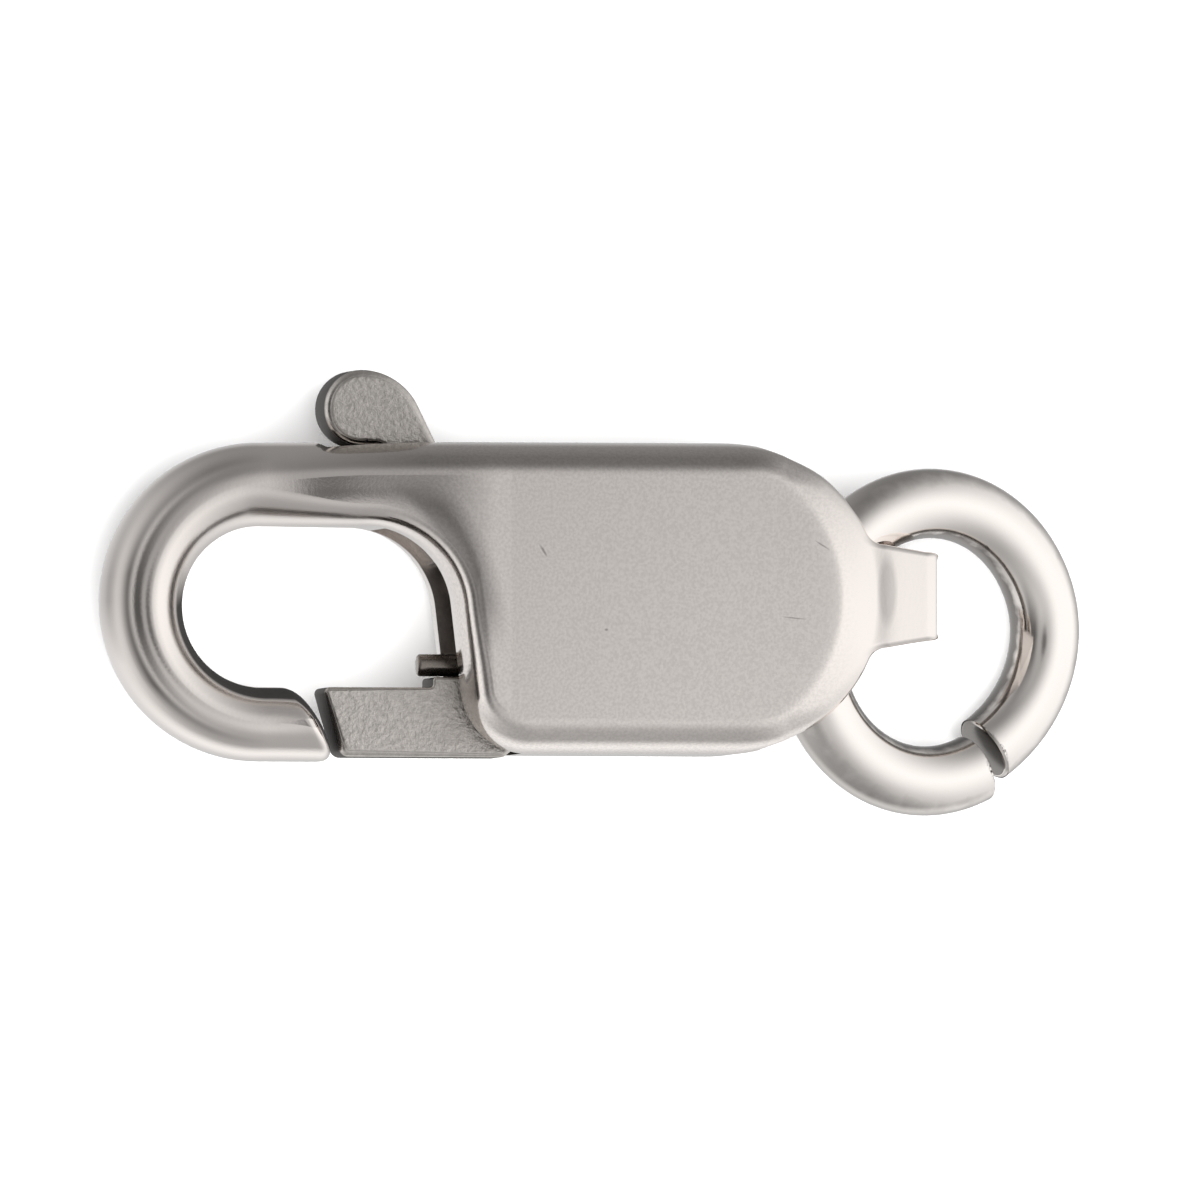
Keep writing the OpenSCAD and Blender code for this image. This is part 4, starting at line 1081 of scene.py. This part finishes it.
def drawn_steel(colours):
    """Drawn spring steel: darker than the silver, with a smooth grey lustre."""
    material, tree = new_material("Drawn spring steel")
    where = add(tree, "ShaderNodeTexCoord")
    marks = add(tree, "ShaderNodeTexNoise", {"Scale": 1 / (0.1 * MM), "Detail": 3.0},
                Vector=where.outputs["Object"]).outputs["Fac"]
    shader = add(tree, "ShaderNodeBsdfPrincipled", {"Base Color": linear(colours.steel), "Metallic": 1.0},
                 Roughness=share(tree, (marks, 0.0, 1.0, 0.2, 0.34)))
    add(tree, "ShaderNodeOutputMaterial", None, Surface=shader.outputs[0])
    return material


def view_axes(stage):
    """The picture's right, up and towards-the-camera directions."""
    swing, dip = stage.swing, stage.dip
    toward = unit(np.array([-np.sin(swing), -np.sin(dip), np.cos(swing) * np.cos(dip)]))
    right = unit(np.cross([0, 1, 0], toward))
    return right, np.cross(toward, right), toward


# The light tent's walls towards the left, right, top and foot of the picture: rows of the sine of the tip of
# the mirror that shows the place to the camera, and the light there. The left wall has a dark gap before the
# white part, the right one is white, the roof is dim, and the front edge of the ground is bright
TENT = {
    "left": ((0.0, 0.4), (0.15, 0.4), (0.3, 0.1), (0.4, 0.1), (0.6, 1.0), (1.0, 0.8)),
    "right": ((0.0, 0.4), (0.45, 1.1), (0.8, 1.1), (1.0, 0.5)),
    "up": ((0.0, 0.4), (0.2, 0.4), (0.5, 0.25), (0.95, 0.3), (1.0, 0.6)),
    "down": ((0.0, 0.4), (0.2, 0.6), (0.6, 0.4), (0.8, 0.4), (0.92, 1.0), (1.0, 0.6)),
}


# How far past level a direction's change from one ramp to the other reaches
TENT_BLEND = 0.06


def light_tent(stage):
    """A world of soft light, laid out round the photo's fixed view, so it stays put when the camera moves:
    the direction r is turned into the mirror n = unit(r + toward) that would show it to the camera there,
    and four ramps over the sine of n's tip are mixed by the squares of its two parts. Near the camera's
    place the tent is darker, as a real one is where the lens looks in."""
    world = bpy.data.worlds.new("Light tent")
    world.use_nodes = True
    tree = world.node_tree
    tree.nodes.clear()
    right, up, toward = view_axes(stage)
    where = add(tree, "ShaderNodeTexCoord")
    both = add(tree, "ShaderNodeVectorMath", {"operation": "ADD", 1: toward.tolist()},
               i0=where.outputs["Generated"])
    mirror = add(tree, "ShaderNodeVectorMath", {"operation": "NORMALIZE"}, i0=both.outputs[0])
    across, upward = (add(tree, "ShaderNodeVectorMath", {"operation": "DOT_PRODUCT", 1: way.tolist()},
                          i0=mirror.outputs[0]).outputs["Value"] for way in (right, up))
    across2, upward2 = (add(tree, "ShaderNodeMath", {"operation": "MULTIPLY"}, i0=part, i1=part).outputs[0]
                        for part in (across, upward))
    tip2 = add(tree, "ShaderNodeMath", {"operation": "ADD"}, i0=across2, i1=upward2).outputs[0]
    tip = add(tree, "ShaderNodeMath", {"operation": "SQRT"}, i0=tip2).outputs[0]
    upright_part = add(tree, "ShaderNodeMath", {"operation": "DIVIDE"}, i0=upward2, i1=tip2).outputs[0]
    light_of = {}
    for name, stops in TENT.items():
        light_of[name] = add(tree, "ShaderNodeValToRGB", {"stops": stops}, Fac=tip).outputs["Color"]

    def blend(how_far, low, high):
        """The light that changes from low to high."""
        return add(tree, "ShaderNodeMix", {"data_type": "RGBA"}, i0=how_far, i6=low, i7=high).outputs[2]

    to_right, to_top = (share(tree, (part, -TENT_BLEND, TENT_BLEND)) for part in (across, upward))
    level = blend(to_right, light_of["left"], light_of["right"])
    upright = blend(to_top, light_of["down"], light_of["up"])
    light = add(tree, "ShaderNodeBackground", None, Color=blend(upright_part, level, upright),
                Strength=share(tree, (tip, 0.03, 0.1, 0.4, 1.0)))
    add(tree, "ShaderNodeOutputWorld", None, Surface=light.outputs[0])
    bpy.context.scene.world = world


def pale_floor(colours):
    """Matt white card: even and without gloss."""
    material, tree = new_material("Matt white card")
    shader = add(tree, "ShaderNodeBsdfDiffuse", {"Color": linear(colours.floor)})
    add(tree, "ShaderNodeOutputMaterial", None, Surface=shader.outputs[0])
    return material


# The width of the camera's sensor, in millimetres
SENSOR_WIDTH = 36


def build_stage(scene):
    """The pale floor, the light tent with its soft box, and the camera."""
    stage = scene.clasp_stage
    right, up, toward = view_axes(stage)
    half = stage.floor_size / 2
    corners = np.array([(-half, -half, 0), (half, -half, 0), (half, half, 0), (-half, half, 0)])
    floor = make_mesh("floor", corners, [(0, 1, 2, 3)], pale_floor(scene.clasp_colours))
    floor.visible_glossy = False

    light_tent(stage)
    lamp = bpy.data.lights.new("Soft box", "AREA")
    lamp.shape = "SQUARE"
    lamp.size = stage.lamp_size
    lamp.energy = stage.lamp_power
    soft_box = bpy.data.objects.new("soft_box", lamp)
    soft_box.location = (0, -stage.lamp_back, stage.lamp_up)
    soft_box.rotation_euler = (stage.lamp_lean, 0, 0)
    soft_box.visible_glossy = False
    soft_box.visible_camera = False
    scene.collection.objects.link(soft_box)

    camera = bpy.data.objects.new("camera", bpy.data.cameras.new("camera"))
    place = right * stage.aim_right + up * stage.aim_up + toward * stage.shot
    camera.matrix_world = Matrix([[right[i], up[i], toward[i], place[i]] for i in range(3)] + [[0, 0, 0, 1]])
    camera.data.sensor_width = SENSOR_WIDTH
    camera.data.lens = SENSOR_WIDTH * stage.shot / stage.frame_w
    camera.data.clip_start = 0.001
    camera.data.clip_end = 10
    scene.collection.objects.link(camera)
    scene.camera = camera
    scene.view_settings.view_transform = "Standard"


class CLASP_OT_case(bpy.types.Operator):
    """Build the case with its hook, cheeks and tail loop"""
    bl_idname = "clasp.case"
    bl_label = "Case"

    def execute(self, context):
        build_case(context.scene)
        return {"FINISHED"}


class CLASP_OT_trigger(bpy.types.Operator):
    """Build the trigger plate with its gate and thumb lug"""
    bl_idname = "clasp.trigger"
    bl_label = "Trigger"

    def execute(self, context):
        build_trigger(context.scene)
        return {"FINISHED"}


class CLASP_OT_spring(bpy.types.Operator):
    """Build the hairpin spring between the case and the trigger"""
    bl_idname = "clasp.spring"
    bl_label = "Spring"

    def execute(self, context):
        build_spring(context.scene)
        return {"FINISHED"}


class CLASP_OT_ring(bpy.types.Operator):
    """Build the open jump ring in the tail loop"""
    bl_idname = "clasp.ring"
    bl_label = "Jump ring"

    def execute(self, context):
        build_ring(context.scene)
        return {"FINISHED"}


class CLASP_OT_pin(bpy.types.Operator):
    """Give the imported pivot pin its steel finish"""
    bl_idname = "clasp.pin"
    bl_label = "Pivot pin"

    def execute(self, context):
        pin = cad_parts["pivot_pin"]
        pin.data.materials.clear()
        pin.data.materials.append(drawn_steel(context.scene.clasp_colours))
        return {"FINISHED"}


class CLASP_OT_stage(bpy.types.Operator):
    """Set out the pale floor, the soft light and the camera"""
    bl_idname = "clasp.stage"
    bl_label = "Floor, light and camera"

    def execute(self, context):
        build_stage(context.scene)
        return {"FINISHED"}


OPERATORS = (CLASP_OT_case, CLASP_OT_trigger, CLASP_OT_spring, CLASP_OT_ring, CLASP_OT_pin, CLASP_OT_stage)


class CLASP_PT_panel(bpy.types.Panel):
    """The clasp's pieces, in the order in which they are built"""
    bl_idname = "CLASP_PT_panel"
    bl_label = "Lobster clasp"
    bl_space_type = "VIEW_3D"
    bl_region_type = "UI"
    bl_category = "Clasp"

    def draw(self, context):
        for operator in OPERATORS:
            self.layout.operator(operator.bl_idname)


GROUPS = {
    "clasp_case": CaseSizes, "clasp_room": RoomSizes, "clasp_trigger": TriggerSizes,
    "clasp_spring": SpringSizes, "clasp_ring": RingSizes, "clasp_pin": PinSizes,
    "clasp_colours": FinishColours, "clasp_stage": StageSettings,
}


def register():
    for group in (*GROUPS.values(), *OPERATORS, CLASP_PT_panel):
        bpy.utils.register_class(group)
    for name, group in GROUPS.items():
        setattr(bpy.types.Scene, name, PointerProperty(type=group))


def unregister():
    for name in GROUPS:
        delattr(bpy.types.Scene, name)
    for group in (CLASP_PT_panel, *OPERATORS, *GROUPS.values()):
        bpy.utils.unregister_class(group)


def main():
    register()
    bpy.ops.clasp.case()
    bpy.ops.clasp.trigger()
    bpy.ops.clasp.spring()
    bpy.ops.clasp.ring()
    bpy.ops.clasp.pin()
    bpy.ops.clasp.stage()


if __name__ == "__main__":
    main()
